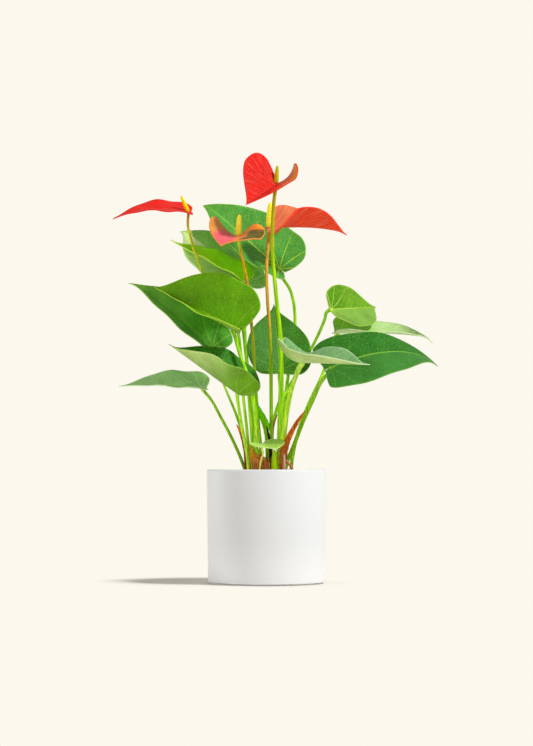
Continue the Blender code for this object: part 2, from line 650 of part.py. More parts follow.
def add_bract(name, own, group, holes):
    """A thin pointed bract, channelled along its middle, that stands in the soil."""
    route = stalk_route(own["route"])
    stations = len(route)
    along = np.linspace(0, len(own["widths"]) - 1, stations)
    widths = np.interp(along, range(len(own["widths"])), own["widths"])
    strap = bmesh.new()
    bmesh.ops.create_grid(strap, x_segments=2, y_segments=stations - 1, size=1.0)
    for vertex in strap.verts:
        side = round(vertex.co.x)
        station = round((vertex.co.y + 1) / 2 * (stations - 1))
        width = widths[station]
        sideways = Vector((0.5 * side * width, -BRACT_CHANNEL * abs(side) * width, 0.0))
        vertex.co = Vector(route[station]) + sideways
    made = add_object(name, mesh_from(name, strap), group, own["colour"])
    thicken(made, BRACT_THICKNESS)
    in_soil = own["widths"][0]
    middle = (own["route"][0][0], own["route"][0][1] - 0.5 * BRACT_CHANNEL * in_soil)
    deep = 0.5 * (BRACT_THICKNESS + BRACT_CHANNEL * in_soil) + 3 * GAP
    add_hole(name + "_hole", middle, (0.5 * in_soil + 5 * GAP, deep), holes)


def add_stump(name, own, group, holes):
    """A short stump or bud that narrows to its top, with upright ridges that twist a little."""
    knob = bmesh.new()
    bmesh.ops.create_uvsphere(knob, u_segments=STUMP_SIDES, v_segments=STUMP_ROWS, radius=1.0)
    height = own["top"] - HOLE_BOTTOM - GAP
    for vertex in knob.verts:
        share = 0.5 * (1 + vertex.co.z)
        angle = math.atan2(vertex.co.y, vertex.co.x)
        width = math.sqrt(max(0.0, 1 - abs(vertex.co.z) ** own["blunt"])) * (1 - own["taper"] * share)
        width *= 1 + own["relief"] * math.cos(own["ridges"] * angle + RIDGE_TWIST * share)
        across, deep = own["radii"]
        vertex.co = (width * across * math.cos(angle), width * deep * math.sin(angle), height * share)
    made = add_object(name, mesh_from(name, knob), group, own["colour"])
    made.location = (*own["foot"], HOLE_BOTTOM + GAP)
    room = [radius * (1 + own["relief"]) + GAP for radius in own["radii"]]
    add_hole(name + "_hole", own["foot"], room, holes)


def add_cut_stub(name, group, holes):
    """The end of a cut stalk, which leans over."""
    add_tube(name, stalk_route(CUT_STUB_ROUTE), CUT_STUB_RADIUS, group, "papery")
    hole_radius = CUT_STUB_RADIUS[0] + 1.5 * GAP
    add_hole(name + "_hole", CUT_STUB_ROUTE[0], (hole_radius, hole_radius), holes)


def add_pot(group):
    """The pot: up the inside, over the rounded rim, down the outside and in under the base."""
    slope = (POT_RIM_RADIUS - POT_BASE_RADIUS) / POT_HEIGHT
    rim, base = POT_RIM_ROUND, POT_BASE_ROUND
    top = POT_HEIGHT - rim
    inside_top = POT_RIM_RADIUS - POT_WALL
    inside_floor = inside_top - slope * (POT_HEIGHT - POT_FLOOR)
    profile = [(0.0, POT_FLOOR), (inside_floor, POT_FLOOR), (inside_top, top)]
    profile += arc((inside_top + rim, top), rim, 180, 90, 3)[1:]
    profile += arc((POT_RIM_RADIUS - rim, top), rim, 90, 0, 3)
    profile += arc((POT_BASE_RADIUS - base, base), base, 0, -90, 2)
    profile += [(0.0, 0.0)]
    turned("pot", profile, group, "ceramic")


def add_soil(group, holes):
    """The soil that fills the pot to just under its rim, with a hole for each stalk."""
    slope = (POT_RIM_RADIUS - POT_BASE_RADIUS) / POT_HEIGHT
    top = POT_RIM_RADIUS - POT_WALL - 1.5 * GAP - slope * (POT_HEIGHT - SOIL_TOP)
    bottom = top - slope * (SOIL_TOP - POT_FLOOR)
    # The surface falls as a parabola, from one dome height above its mean level to one below
    profile = [(out * top, SOIL_TOP + SOIL_DOME * (1 - 2 * out**2)) for out in (0.0, 0.35, 0.7, 1.0)]
    profile += [(bottom, POT_FLOOR + GAP), (0.0, POT_FLOOR + GAP)]
    soil = turned("soil", profile, group, "soil")
    add_boolean(soil, "DIFFERENCE", holes)


clear_scene()
plant = new_collection("potted_anthurium")
helper_pieces = new_collection("joined_and_cutting_pieces")
soil_holes = new_collection("soil_holes")
add_pot(plant)
for leaf_name, leaf in LEAVES.items():
    add_leaf(leaf_name, leaf, plant, helper_pieces, soil_holes)
for bloom_number, bloom in BLOOMS.items():
    add_bloom(bloom_number, bloom, plant, helper_pieces, soil_holes)
for bract_name, bract in BRACTS.items():
    add_bract(bract_name, bract, plant, soil_holes)
for stump_name, stump in STUMPS.items():
    add_stump(stump_name, stump, plant, soil_holes)
add_cut_stub("cut_stub", plant, soil_holes)
add_soil(plant, soil_holes)
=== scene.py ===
# %% [markdown]
# # A potted anthurium, dressed for its photograph
#
# The plant is already built as plain solids: a white pot, thirteen heart-shaped leaves,
# four red blooms and the scraps round the crown. This notebook loads those solids as a
# fixed frame and gives each one its finished surface. Lengths are in metres, +Z is up,
# and the side that faces the camera looks towards -Y.

# %% Load the frame
import json
import math

import bmesh
import bpy
import numpy as np
from mathutils import Matrix, Vector

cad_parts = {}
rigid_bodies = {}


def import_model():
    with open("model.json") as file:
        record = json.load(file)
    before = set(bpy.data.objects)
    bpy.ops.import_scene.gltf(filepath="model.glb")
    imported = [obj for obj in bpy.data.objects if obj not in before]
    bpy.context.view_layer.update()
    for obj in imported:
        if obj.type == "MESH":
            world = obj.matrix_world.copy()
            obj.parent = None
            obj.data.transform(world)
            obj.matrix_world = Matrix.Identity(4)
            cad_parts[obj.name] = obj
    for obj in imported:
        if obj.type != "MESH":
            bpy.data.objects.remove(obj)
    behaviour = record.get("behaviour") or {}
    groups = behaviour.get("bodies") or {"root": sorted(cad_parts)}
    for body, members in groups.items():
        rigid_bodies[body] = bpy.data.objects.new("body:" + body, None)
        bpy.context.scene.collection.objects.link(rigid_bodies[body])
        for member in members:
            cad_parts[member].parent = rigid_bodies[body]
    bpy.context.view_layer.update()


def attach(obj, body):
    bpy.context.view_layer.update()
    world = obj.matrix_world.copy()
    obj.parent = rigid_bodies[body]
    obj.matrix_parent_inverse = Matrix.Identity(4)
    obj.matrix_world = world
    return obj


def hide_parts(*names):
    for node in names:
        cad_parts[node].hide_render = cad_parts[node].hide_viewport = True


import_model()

# %% [markdown]
# ## Camera
#
# The photograph was taken from far away with a long lens, nearly level with the pot. The
# camera stands 2.4 m in front, a little above the floor, and looks slightly up, so that
# the pot shows almost no ellipse at its rim. The lens is given as a focal length for a
# sensor whose long side is 36 mm, because the picture is 746 pixels tall.

# %% Place the camera
PICTURE_TALL = 746
FOCAL_PIXELS = 2256
LOOK_UP_PIXELS = 96
SENSOR_LONG_SIDE = 36.0
CAMERA_AWAY = 2.4
CAMERA_HEIGHT = 0.121

look_up = math.atan(LOOK_UP_PIXELS / FOCAL_PIXELS)
bpy.ops.object.select_all(action="DESELECT")
bpy.ops.object.camera_add(
    location=(0.0, -CAMERA_AWAY, CAMERA_HEIGHT), rotation=(math.radians(90) + look_up, 0.0, 0.0)
)
camera = bpy.context.object
camera.data.sensor_width = SENSOR_LONG_SIDE
camera.data.lens = SENSOR_LONG_SIDE * FOCAL_PIXELS / PICTURE_TALL
camera.data.clip_end = 50.0
scene = bpy.context.scene
scene.camera = camera
print("lens, mm:", round(camera.data.lens, 1))

# %% [markdown]
# ## Light
#
# The plant stands in a white studio. The background is an even cream, and the pot's only
# shadow lies on its left, as long as the pot is wide and fairly sharp. So the key lamp
# stands high on the right, a little in front of the plant, and is small. The world gives
# the even part of the light. To the camera it is plain cream. To the plant it is dimmer,
# so that the leaves keep their depth of colour, and dimmest above, so that the shadow on
# the floor stays dark. A large lamp low on the left, a little behind the plant, brightens
# that edge of the pot.

# %% Light the studio
CREAM = (0.973, 0.939, 0.847)
ROOM = (1.0, 0.985, 0.96)
ROOM_AT_HORIZON = 0.83
ROOM_ABOVE = 0.26

scene.view_settings.view_transform = "Standard"
world = bpy.data.worlds.new("studio")
scene.world = world
world.use_nodes = True
sky = world.node_tree
backdrop = sky.nodes["Background"]
backdrop.inputs["Color"].default_value = (*CREAM, 1.0)
backdrop.inputs["Strength"].default_value = 1.0
room = sky.nodes.new("ShaderNodeBackground")
room.inputs["Color"].default_value = (*ROOM, 1.0)
way = sky.nodes.new("ShaderNodeTexCoord")
upwards = sky.nodes.new("ShaderNodeSeparateXYZ")
fade = sky.nodes.new("ShaderNodeMapRange")
fade.inputs["To Min"].default_value = ROOM_AT_HORIZON
fade.inputs["To Max"].default_value = ROOM_ABOVE
sky.links.new(way.outputs["Generated"], upwards.inputs[0])
sky.links.new(upwards.outputs["Z"], fade.inputs["Value"])
sky.links.new(fade.outputs["Result"], room.inputs["Strength"])
ray = sky.nodes.new("ShaderNodeLightPath")
seen = sky.nodes.new("ShaderNodeMixShader")
sky.links.new(ray.outputs["Is Camera Ray"], seen.inputs[0])
sky.links.new(room.outputs[0], seen.inputs[1])
sky.links.new(backdrop.outputs[0], seen.inputs[2])
sky.links.new(seen.outputs[0], sky.nodes["World Output"].inputs["Surface"])


def add_lamp(name, place, aim, size, power):
    """A square soft lamp that looks at a point of the plant."""
    bpy.ops.object.light_add(type="AREA", location=place)
    lamp = bpy.context.object
    lamp.name = name
    lamp.data.shape = "SQUARE"
    lamp.data.size = size
    lamp.data.energy = power
    lamp.rotation_euler = (Vector(aim) - Vector(place)).to_track_quat("-Z", "Y").to_euler()
    return lamp


add_lamp("key_lamp", place=(1.23, -0.69, 1.80), aim=(0.0, 0.0, 0.12), size=0.30, power=37.0)
add_lamp("edge_lamp", place=(-1.9, 0.5, 0.40), aim=(0.0, 0.0, 0.15), size=1.2, power=10.0)
print("light of the room, horizon and above:", ROOM_AT_HORIZON, ROOM_ABOVE)

# %% [markdown]
# ## Small tools
#
# Modelling by script is the same as modelling by hand: make one object active, go into
# edit mode, pick some faces or edges, and run an operator on them. These few helpers do
# the picking, the copying and the handing over, so that each later cell can say only what
# is made.

# %% Helpers for modelling
def only(piece):
    """Make this piece the one that is selected and active."""
    bpy.ops.object.select_all(action="DESELECT")
    piece.select_set(True)
    bpy.context.view_layer.objects.active = piece


def named(name):
    """Name the object that an operator has just made, and its mesh."""
    piece = bpy.context.object
    piece.name = name
    piece.data.name = name
    return piece


def pick(piece, rule, kind="FACE"):
    """In edit mode, select the faces or edges for which the rule is true."""
    bpy.ops.mesh.select_mode(type=kind)
    bpy.ops.mesh.select_all(action="DESELECT")
    shape = bmesh.from_edit_mesh(piece.data)
    parts = [part for part in (shape.faces if kind == "FACE" else shape.edges) if rule(part)]
    for part in parts:
        part.select_set(True)
    bmesh.update_edit_mesh(piece.data)


def merge_doubles():
    """In edit mode, select everything and join the points that lie on one another."""
    bpy.ops.mesh.select_all(action="SELECT")
    bpy.ops.mesh.remove_doubles(threshold=0.00001)


def cut_into_rings(piece, cuts):
    """Cut the upright edges of a tube or a cone into equal parts."""
    bpy.ops.object.mode_set(mode="EDIT")
    pick(piece, lambda edge: abs(edge.verts[0].co.z - edge.verts[1].co.z) > 0.5, "EDGE")
    bpy.ops.mesh.subdivide(number_cuts=cuts)
    bpy.ops.object.mode_set(mode="OBJECT")


def thicken(piece, thickness):
    """Give a sheet its thickness, half of it on either side."""
    solid = piece.modifiers.new("Thickness", "SOLIDIFY")
    solid.thickness = thickness
    solid.offset = 0.0
    return solid


def apply_all(piece):
    """Apply the piece's modifiers in their order, then its place, so that it ends at the origin,
    and shade it smooth."""
    only(piece)
    for modifier in list(piece.modifiers):
        bpy.ops.object.modifier_apply(modifier=modifier.name)
    bpy.ops.object.transform_apply(location=True, rotation=True, scale=True)
    bpy.ops.object.shade_smooth()


def copies_of(piece, number):
    """The piece and its copies, as many as the number says in all, each with its own mesh."""
    copies = [piece]
    for _ in range(number - 1):
        copy = piece.copy()
        copy.data = piece.data.copy()
        scene.collection.objects.link(copy)
        copies.append(copy)
    return copies


def join_all(copies):
    """Join the copies into the first of them, which ends at the origin."""
    only(copies[0])
    for copy in copies:
        copy.select_set(True)
    bpy.ops.object.join()
    bpy.ops.object.transform_apply(location=True, rotation=True, scale=True)


def finished(piece, node, slot, *materials):
    """Hand a finished piece over: its materials, the body it rides on and the solid it stands for."""
    slots = piece.data.materials
    while len(slots) < len(materials):
        slots.append(None)
    for place, finish in enumerate(materials):
        slots[place] = finish
    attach(piece, "root")
    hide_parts(node)


def points_of(mesh):
    """All the points of a mesh as an array."""
    points = np.empty(len(mesh.vertices) * 3)
    mesh.vertices.foreach_get("co", points)
    return points.reshape(-1, 3)


def move_points(mesh, points):
    """Put all the points of a mesh at new places."""
    mesh.vertices.foreach_set("co", np.asarray(points, float).ravel())
    mesh.update()


def around_axis(out, angle, height, foot=(0.0, 0.0), radii=(1.0, 1.0)):
    """Places round an upright axis over the foot, on a circle or, with two radii, an ellipse."""
    x = foot[0] + out * radii[0] * np.cos(angle)
    y = foot[1] + out * radii[1] * np.sin(angle)
    return np.stack([x, y, height], axis=-1)


def grid_steps(values, number):
    """Which of a grid's lines each value is on, when they run from -1 to 1."""
    return np.rint((values + 1) / 2 * number).astype(int)


# %% [markdown]
# ## Small tools for materials
#
# A procedural material is a chain of small sums: a coordinate goes in, a few nodes bend
# it into a pattern, and the pattern drives the colour, the gloss and the bump. Each of
# these helpers adds one node and gives back its output, so a chain can be written as
# ordinary sums.

# %% Helpers for materials
class Finish:
    """One material whose nodes are added by plain calls."""

    def __init__(self, name, roughness=0.5, **settings):
        self.material = bpy.data.materials.new(name)
        self.material.use_nodes = True
        self.tree = self.material.node_tree
        self.shader = self.tree.nodes["Principled BSDF"]
        self.shader.inputs["Roughness"].default_value = roughness
        for socket, value in settings.items():
            self.shader.inputs[socket.replace("_", " ")].default_value = value

    def node(self, kind, **settings):
        """Add a node of this kind, with its options."""
        made = self.tree.nodes.new("ShaderNode" + kind)
        for key, value in settings.items():
            setattr(made, key, value)
        return made

    def feed(self, socket, value):
        """Link another node's output into a socket, or set a plain number or colour there."""
        if isinstance(value, bpy.types.NodeSocket):
            self.tree.links.new(value, socket)
        elif isinstance(value, tuple) and len(value) == 3 and socket.type == "RGBA":
            socket.default_value = (*value, 1.0)
        else:
            socket.default_value = value

    def sum(self, operation, a, b=0.0, c=0.0):
        """One sum, done by a Math node."""
        made = self.node("Math", operation=operation)
        for socket, value in zip(made.inputs, (a, b, c)):
            self.feed(socket, value)
        return made.outputs[0]

    def step(self, value, low, high, start=0.0, end=1.0):
        """A smooth rise from start to end while the value goes from low to high."""
        made = self.node("MapRange", interpolation_type="SMOOTHSTEP")
        for socket, number in zip(made.inputs, (value, low, high, start, end)):
            self.feed(socket, number)
        return made.outputs[0]

    def place(self, scale=(1.0, 1.0, 1.0)):
        """Object coordinates, stretched for a pattern."""
        made = self.node("Mapping")
        self.feed(made.inputs["Vector"], self.node("TexCoord").outputs["Object"])
        made.inputs["Scale"].default_value = scale
        return made.outputs[0]

    def height(self):
        """How high a point is above the floor."""
        made = self.node("SeparateXYZ")
        self.feed(made.inputs[0], self.node("TexCoord").outputs["Object"])
        return made.outputs["Z"]

    def uv(self, name):
        """The two numbers that a UV map holds."""
        made = self.node("SeparateXYZ")
        self.feed(made.inputs[0], self.node("UVMap", uv_map=name).outputs[0])
        return made.outputs["X"], made.outputs["Y"]

    def noise(self, vector, scale, detail=3.0, rough=0.5):
        """Soft clouds from 0 to 1, about as many to one unit of the vector as the scale says."""
        made = self.node("TexNoise")
        self.feed(made.inputs["Vector"], vector)
        made.inputs["Scale"].default_value = scale
        made.inputs["Detail"].default_value = detail
        made.inputs["Roughness"].default_value = rough
        return made.outputs[0]

    def web(self, vector, scale, thin):
        """Fine lines round the cells of a Voronoi pattern: 1 on a line and 0 between them."""
        made = self.node("TexVoronoi", feature="DISTANCE_TO_EDGE")
        self.feed(made.inputs["Vector"], vector)
        made.inputs["Scale"].default_value = scale
        return self.step(made.outputs["Distance"], 0.0, thin, 1.0, 0.0)

    def mix(self, share, a, b, blend="MIX"):
        """Blend the colour b into a, by a share from 0 to 1."""
        made = self.node("Mix", data_type="RGBA", blend_type=blend)
        self.feed(made.inputs[0], share)
        self.feed(made.inputs[6], a)
        self.feed(made.inputs[7], b)
        return made.outputs[2]

    def tinted(self, colour, tint):
        """A colour multiplied by another."""
        return self.mix(1.0, colour, tint, "MULTIPLY")

    def over(self, colour, paint, mask, share):
        """A paint laid over a colour by a mask, as strongly as the share says."""
        return self.mix(self.sum("MULTIPLY", mask, share), colour, paint)

    def bump(self, height, strength, distance, under=None):
        """Relief that only the light sees, on top of another one where that is given."""
        made = self.node("Bump")
        made.inputs["Strength"].default_value = strength
        made.inputs["Distance"].default_value = distance
        self.feed(made.inputs["Height"], height)
        if under is not None:
            self.feed(made.inputs["Normal"], under)
        return made.outputs[0]

    def set(self, socket, value):
        """Feed one of the shader's own sockets."""
        self.feed(self.shader.inputs[socket], value)


# %% [markdown]
# ## Floor
#
# The studio floor is a wide pale disc. It has to melt into the cream background with no
# horizon, and still catch the soft shadow of the pot. So the floor is made of two finishes
# that are mixed: round the pot and on its left, where its shadow falls, a matt surface that
# takes light and shadow, and further out a surface that glows in the background's colour.

# %% Lay the floor
FLOOR_RADIUS = 14.0
FLOOR_INSETS = (12.5, 1.0)
FLOOR_PAPER = (0.785, 0.760, 0.690)
MATT_SPOTS = (((0.0, 0.0, 0.0), 0.068, 0.095), ((-0.082, 0.040, 0.0), 0.050, 0.110))

bpy.ops.object.select_all(action="DESELECT")
bpy.ops.mesh.primitive_circle_add(
    vertices=96, radius=FLOOR_RADIUS, fill_type="NGON", location=(0.0, 0.0, 0.0)
)
floor = named("floor")
bpy.ops.object.mode_set(mode="EDIT")
for thickness in FLOOR_INSETS:
    bpy.ops.mesh.inset(thickness=thickness)
bpy.ops.object.mode_set(mode="OBJECT")

paper = Finish("studio_floor", roughness=0.9, Specular_IOR_Level=0.0)
paper.set("Base Color", FLOOR_PAPER)
spots = []
for centre, near, gone in MATT_SPOTS:
    far = paper.node("VectorMath", operation="DISTANCE")
    paper.feed(far.inputs[0], paper.node("TexCoord").outputs["Object"])
    paper.feed(far.inputs[1], centre)
    spots.append(paper.step(far.outputs["Value"], near, gone))
glow = paper.node("Emission")
glow.inputs["Color"].default_value = (*CREAM, 1.0)
both = paper.node("MixShader")
paper.feed(both.inputs[0], paper.sum("MINIMUM", *spots))
paper.feed(both.inputs[1], paper.shader.outputs[0])
paper.feed(both.inputs[2], glow.outputs[0])
paper.feed(paper.tree.nodes["Material Output"].inputs["Surface"], both.outputs[0])
floor.data.materials.append(paper.material)
print("matt spots of the floor:", len(spots))

# %% [markdown]
# ## Pot
#
# The real pot is a plain cylinder of white earthenware under a satin glaze, a touch wider
# at the rim than at the foot, with a soft round lip. It starts here as a cylinder with
# 128 sides. Its top is scaled up a little, inset by the thickness of the wall and pushed
# down to make the inside, and the rim's and the bottom's edges are bevelled. The bottom
# stands on a low foot that is set in, which draws a thin dark line between pot and floor.

# %% Throw the pot
POT_HEIGHT = 0.1205
POT_RIM_RADIUS = 0.0635
POT_BASE_RADIUS = 0.0620
POT_WALL = 0.0045
POT_FLOOR = 0.0060
POT_INSIDE_NARROWS = 0.975
POT_RIM_ROUND = 0.0020
POT_BASE_ROUND = 0.0012
FOOT_HEIGHT = 0.0014
FOOT_INSET = 0.0035
NEAR = 1e-4

bpy.ops.object.select_all(action="DESELECT")
bpy.ops.mesh.primitive_cylinder_add(
    vertices=128, radius=POT_BASE_RADIUS, depth=POT_HEIGHT, location=(0.0, 0.0, POT_HEIGHT / 2)
)
pot = named("glazed_pot")
bpy.ops.object.transform_apply(location=True, rotation=False, scale=False)
bpy.ops.object.mode_set(mode="EDIT")
pick(pot, lambda face: face.normal.z > 0.9)
widen = POT_RIM_RADIUS / POT_BASE_RADIUS
bpy.ops.transform.resize(value=(widen, widen, 1.0))
bpy.ops.mesh.inset(thickness=POT_WALL)
bpy.ops.mesh.extrude_region_move(TRANSFORM_OT_translate={"value": (0.0, 0.0, POT_FLOOR - POT_HEIGHT)})
bpy.ops.transform.resize(value=(POT_INSIDE_NARROWS, POT_INSIDE_NARROWS, 1.0))
pick(pot, lambda edge: all(v.co.z > POT_HEIGHT - NEAR for v in edge.verts), "EDGE")
bpy.ops.mesh.bevel(offset=POT_RIM_ROUND, segments=6, affect="EDGES")
pick(pot, lambda face: face.normal.z < -0.9 and face.calc_center_median().z < NEAR)
bpy.ops.transform.translate(value=(0.0, 0.0, FOOT_HEIGHT))
bpy.ops.mesh.inset(thickness=FOOT_INSET)
bpy.ops.mesh.extrude_region_move(TRANSFORM_OT_translate={"value": (0.0, 0.0, -FOOT_HEIGHT)})
foot_edge = POT_BASE_RADIUS - 0.5 * FOOT_INSET
pick(pot, lambda edge: all(v.co.z < 0.002 and v.co.xy.length > foot_edge for v in edge.verts), "EDGE")
bpy.ops.mesh.bevel(offset=POT_BASE_ROUND, segments=4, affect="EDGES")
bpy.ops.object.mode_set(mode="OBJECT")
bpy.ops.object.shade_smooth_by_angle(angle=math.radians(40))
print("pot faces:", len(pot.data.polygons))

# %% [markdown]
# The glaze is white with a slight cool cast. Towards the foot it is painted a shade paler: painted light
# that stands in for the light the bright floor throws up onto the pot. The glaze is never quite even: it
# pools in faint clouds, and a turned pot keeps very shallow rings, which only the bump shows.

# %% Glaze the pot
GLAZE_THIN = (0.715, 0.725, 0.745)
GLAZE_POOLED = (0.755, 0.765, 0.785)
GLAZE_PAINTED_FLOOR_LIGHT = (0.835, 0.843, 0.860)
PAINTED_FLOOR_LIGHT_HEIGHT = 0.055

glaze = Finish("satin_glaze", roughness=0.42, Specular_IOR_Level=0.35)
clouds = glaze.noise(glaze.place(), scale=14.0, detail=4.0)
white = glaze.mix(clouds, GLAZE_THIN, GLAZE_POOLED)
# Painted light: the glaze turns paler over the lowest few centimetres, for the light thrown up by the
# floor.
painted_floor_light = glaze.step(glaze.height(), 0.0, PAINTED_FLOOR_LIGHT_HEIGHT, 1.0, 0.0)
glaze.set("Base Color", glaze.mix(painted_floor_light, white, GLAZE_PAINTED_FLOOR_LIGHT))
rings = glaze.noise(glaze.place(scale=(4.0, 4.0, 260.0)), scale=1.0, detail=2.0)
pits = glaze.noise(glaze.place(), scale=900.0, detail=2.0)
glaze.set("Roughness", glaze.step(pits, 0.3, 0.7, 0.38, 0.50))
ringed = glaze.bump(rings, strength=0.10, distance=0.0003)
glaze.set("Normal", glaze.bump(pits, strength=0.05, distance=0.0002, under=ringed))
finished(pot, "pot", "ceramic", glaze.material)

# %% [markdown]
# ## Soil
#
# Potting soil fills the pot to a finger's width below the rim. From the front the rim
# hides it, but from above it is the ground of the whole plant. Its top starts as a disc,
# which is inset again and again into rings, pulled up a little in the middle, and
# roughened by two Displace modifiers, one with large clouds and one with small ones.

# %% Fill the pot with soil
SOIL_TOP = 0.1085
SOIL_DOME = 0.0025
SOIL_GAP = 0.0005
SOIL_NARROWS = 0.972
SOIL_RINGS = 30
SOIL_LUMPS = ((0.012, 0.0032), (0.004, 0.0016))

soil_radius = POT_RIM_RADIUS - POT_WALL - SOIL_GAP


def soil_rise(away):
    """How far the domed soil is above its mean height at a distance from the pot's axis."""
    return SOIL_DOME * (1 - 2 * (away / soil_radius) ** 2)


bpy.ops.object.select_all(action="DESELECT")
bpy.ops.mesh.primitive_cylinder_add(
    vertices=112, radius=soil_radius, depth=SOIL_TOP - POT_FLOOR - SOIL_GAP,
    location=(0.0, 0.0, (SOIL_TOP + POT_FLOOR + SOIL_GAP) / 2),
)
soil = named("potting_soil")
bpy.ops.object.transform_apply(location=True, rotation=False, scale=False)
bpy.ops.object.mode_set(mode="EDIT")
pick(soil, lambda face: face.normal.z < -0.9)
bpy.ops.transform.resize(value=(SOIL_NARROWS, SOIL_NARROWS, 1.0))
pick(soil, lambda face: face.normal.z > 0.9)
for _ in range(SOIL_RINGS):
    bpy.ops.mesh.inset(thickness=soil_radius / (SOIL_RINGS + 1))
bpy.ops.object.mode_set(mode="OBJECT")
places = points_of(soil.data)
away = np.hypot(places[:, 0], places[:, 1])
on_top = places[:, 2] > SOIL_TOP - NEAR
places[on_top, 2] += soil_rise(away[on_top])
move_points(soil.data, places)
top_group = soil.vertex_groups.new(name="surface")
top_group.add([int(i) for i in np.flatnonzero(on_top & (away < 0.99 * soil_radius))], 1.0, "REPLACE")
for lump_size, lump_height in SOIL_LUMPS:
    lumps = bpy.data.textures.new("lumps", "CLOUDS")
    lumps.noise_scale = lump_size
    rough = soil.modifiers.new("Lumps", "DISPLACE")
    rough.texture = lumps
    rough.texture_coords = "LOCAL"
    rough.direction = "Z"
    rough.vertex_group = "surface"
    rough.mid_level = 0.6
    rough.strength = lump_height
apply_all(soil)
print("soil faces:", len(soil.data.polygons))

# %% [markdown]
# Peat is nearly black where it is damp and reddish brown where it has dried. Two sizes
# of noise give that, and a strong fine bump gives the crumb.

# %% Colour the soil
PEAT_DAMP = (0.018, 0.011, 0.007)
PEAT_DRY = (0.085, 0.050, 0.028)
PEAT_CRUMB = (0.14, 0.085, 0.045)

peat = Finish("peat", roughness=0.95, Specular_IOR_Level=0.15)
damp = peat.noise(peat.place(), scale=60.0, detail=6.0, rough=0.65)
crumb = peat.noise(peat.place(), scale=420.0, detail=5.0, rough=0.6)
ground = peat.mix(damp, PEAT_DAMP, PEAT_DRY)
peat.set("Base Color", peat.mix(peat.step(crumb, 0.50, 0.75), ground, PEAT_CRUMB))
peat.set("Normal", peat.bump(crumb, strength=0.9, distance=0.0012))
finished(soil, "soil", "soil", peat.material)

# %% [markdown]
# Loose crumbs of bark and a few white grains of perlite lie on the soil. One crumb is
# modelled, from a low icosphere with its points pushed about, and then copied, each copy
# turned and scaled on its own. The copies are joined into one piece.

# %% Scatter crumbs on the soil
CRUMBS = 190
CRUMB_SIZES = (0.0012, 0.0042)
GRAINS = 34
GRAIN_SIZES = (0.0008, 0.0018)
CLEAR_OF_WALL = 0.004
LUMP_ROUGHNESS = 0.22
LUMP_STANDS_OUT = 0.1

scatter = np.random.default_rng(11)


def add_crumbs(name, number, sizes, finish):
    """Copies of one rough lump, scattered over the soil and joined."""
    bpy.ops.object.select_all(action="DESELECT")
    bpy.ops.mesh.primitive_ico_sphere_add(subdivisions=2, radius=1.0, location=(0.0, 0.0, 0.0))
    lump = named(name)
    bpy.ops.object.mode_set(mode="EDIT")
    bpy.ops.transform.vertex_random(offset=LUMP_ROUGHNESS, seed=3, uniform=0.6)
    bpy.ops.object.mode_set(mode="OBJECT")
    copies = copies_of(lump, number)
    for copy in copies:
        away = (soil_radius - CLEAR_OF_WALL) * math.sqrt(scatter.uniform(0.0, 1.0))
        round_pot = scatter.uniform(0.0, 2 * math.pi)
        size = scatter.uniform(*sizes)
        height = SOIL_TOP + soil_rise(away) + LUMP_STANDS_OUT * size
        copy.location = around_axis(away, round_pot, height)
        copy.rotation_euler = scatter.uniform(0.0, 2 * math.pi, 3)
        copy.scale = size * scatter.uniform(0.5, 1.0, 3)
    join_all(copies)
    bpy.ops.object.shade_smooth_by_angle(angle=math.radians(50))
    print(name, "copies:", number, "faces:", len(lump.data.polygons))
    finished(lump, "soil", "soil", finish)


BARK_DARK = (0.055, 0.030, 0.016)
BARK_LIGHT = (0.23, 0.135, 0.07)
PERLITE_DARK = (0.50, 0.48, 0.44)
PERLITE_LIGHT = (0.80, 0.79, 0.76)

bark = Finish("bark_crumb", roughness=0.9, Specular_IOR_Level=0.2)
grain = bark.noise(bark.place(scale=(1.0, 1.0, 3.0)), scale=240.0, detail=4.0)
bark.set("Base Color", bark.mix(grain, BARK_DARK, BARK_LIGHT))
bark.set("Normal", bark.bump(grain, strength=0.6, distance=0.0008))
perlite = Finish("perlite_grain", roughness=0.85, Specular_IOR_Level=0.2)
pores = perlite.noise(perlite.place(), scale=900.0)
perlite.set("Base Color", perlite.mix(pores, PERLITE_DARK, PERLITE_LIGHT))
perlite.set("Normal", perlite.bump(pores, strength=0.5, distance=0.0004))
add_crumbs("bark_crumbs", CRUMBS, CRUMB_SIZES, bark.material)
add_crumbs("perlite_grains", GRAINS, GRAIN_SIZES, perlite.material)

# %% [markdown]
# ## The shape of a blade
#
# Every leaf and every spathe, which is the red leaf of a bloom, is the same kind of
# blade: a heart with a drawn-out tip, folded up on both sides of its midrib, bent along
# it and waved at the margin. It is measured from the stalk's joint, with +X to the tip
# and +Y to the left. Its outline is three Bezier curves on each side. The numbers are
# those of the plain solids, so that each finished blade lies on its solid.

# %% Outline of a blade
NOTCH_DEPTH = 0.06
TIP_STEPS = 26
SHOULDER_STEPS = 15
LOBE_STEPS = 9
BLADE_RINGS = 24
LEAF_THICKNESS = 0.0009
SPATHE_THICKNESS = 0.0012

TIP_PULL = 0.30
SHOULDER_PULL = 0.55
LOBE_PULL = 0.45
LEFT, RIGHT = 0, 1

BLADE = dict(
    widest=0.22, lobe_at=0.55, taper=0.10, full=0.62, notch=0.03,
    fold=(10, 10), lobe_fold=(0, 0), curl=(0, 0), lobe_curl=(0, 0),
    rear=0, arch0=0, arch=0, hook=0, wave=0.0012, waves=2.5,
)


def bezier(start, leave, arrive, end, steps):
    """Points of a cubic Bezier curve, ends included."""
    t = np.linspace(0.0, 1.0, steps + 1)[:, None]
    points = [np.array(p, float) for p in (start, leave, arrive, end)]
    weights = ((1 - t) ** 3, 3 * t * (1 - t) ** 2, 3 * t * t * (1 - t), t**3)
    return sum(weight * point for weight, point in zip(weights, points))


def of_side(value, side):
    """A value of one side of the blade, where it may be one number for both sides or (left, right)."""
    return value[side] if isinstance(value, tuple) else value


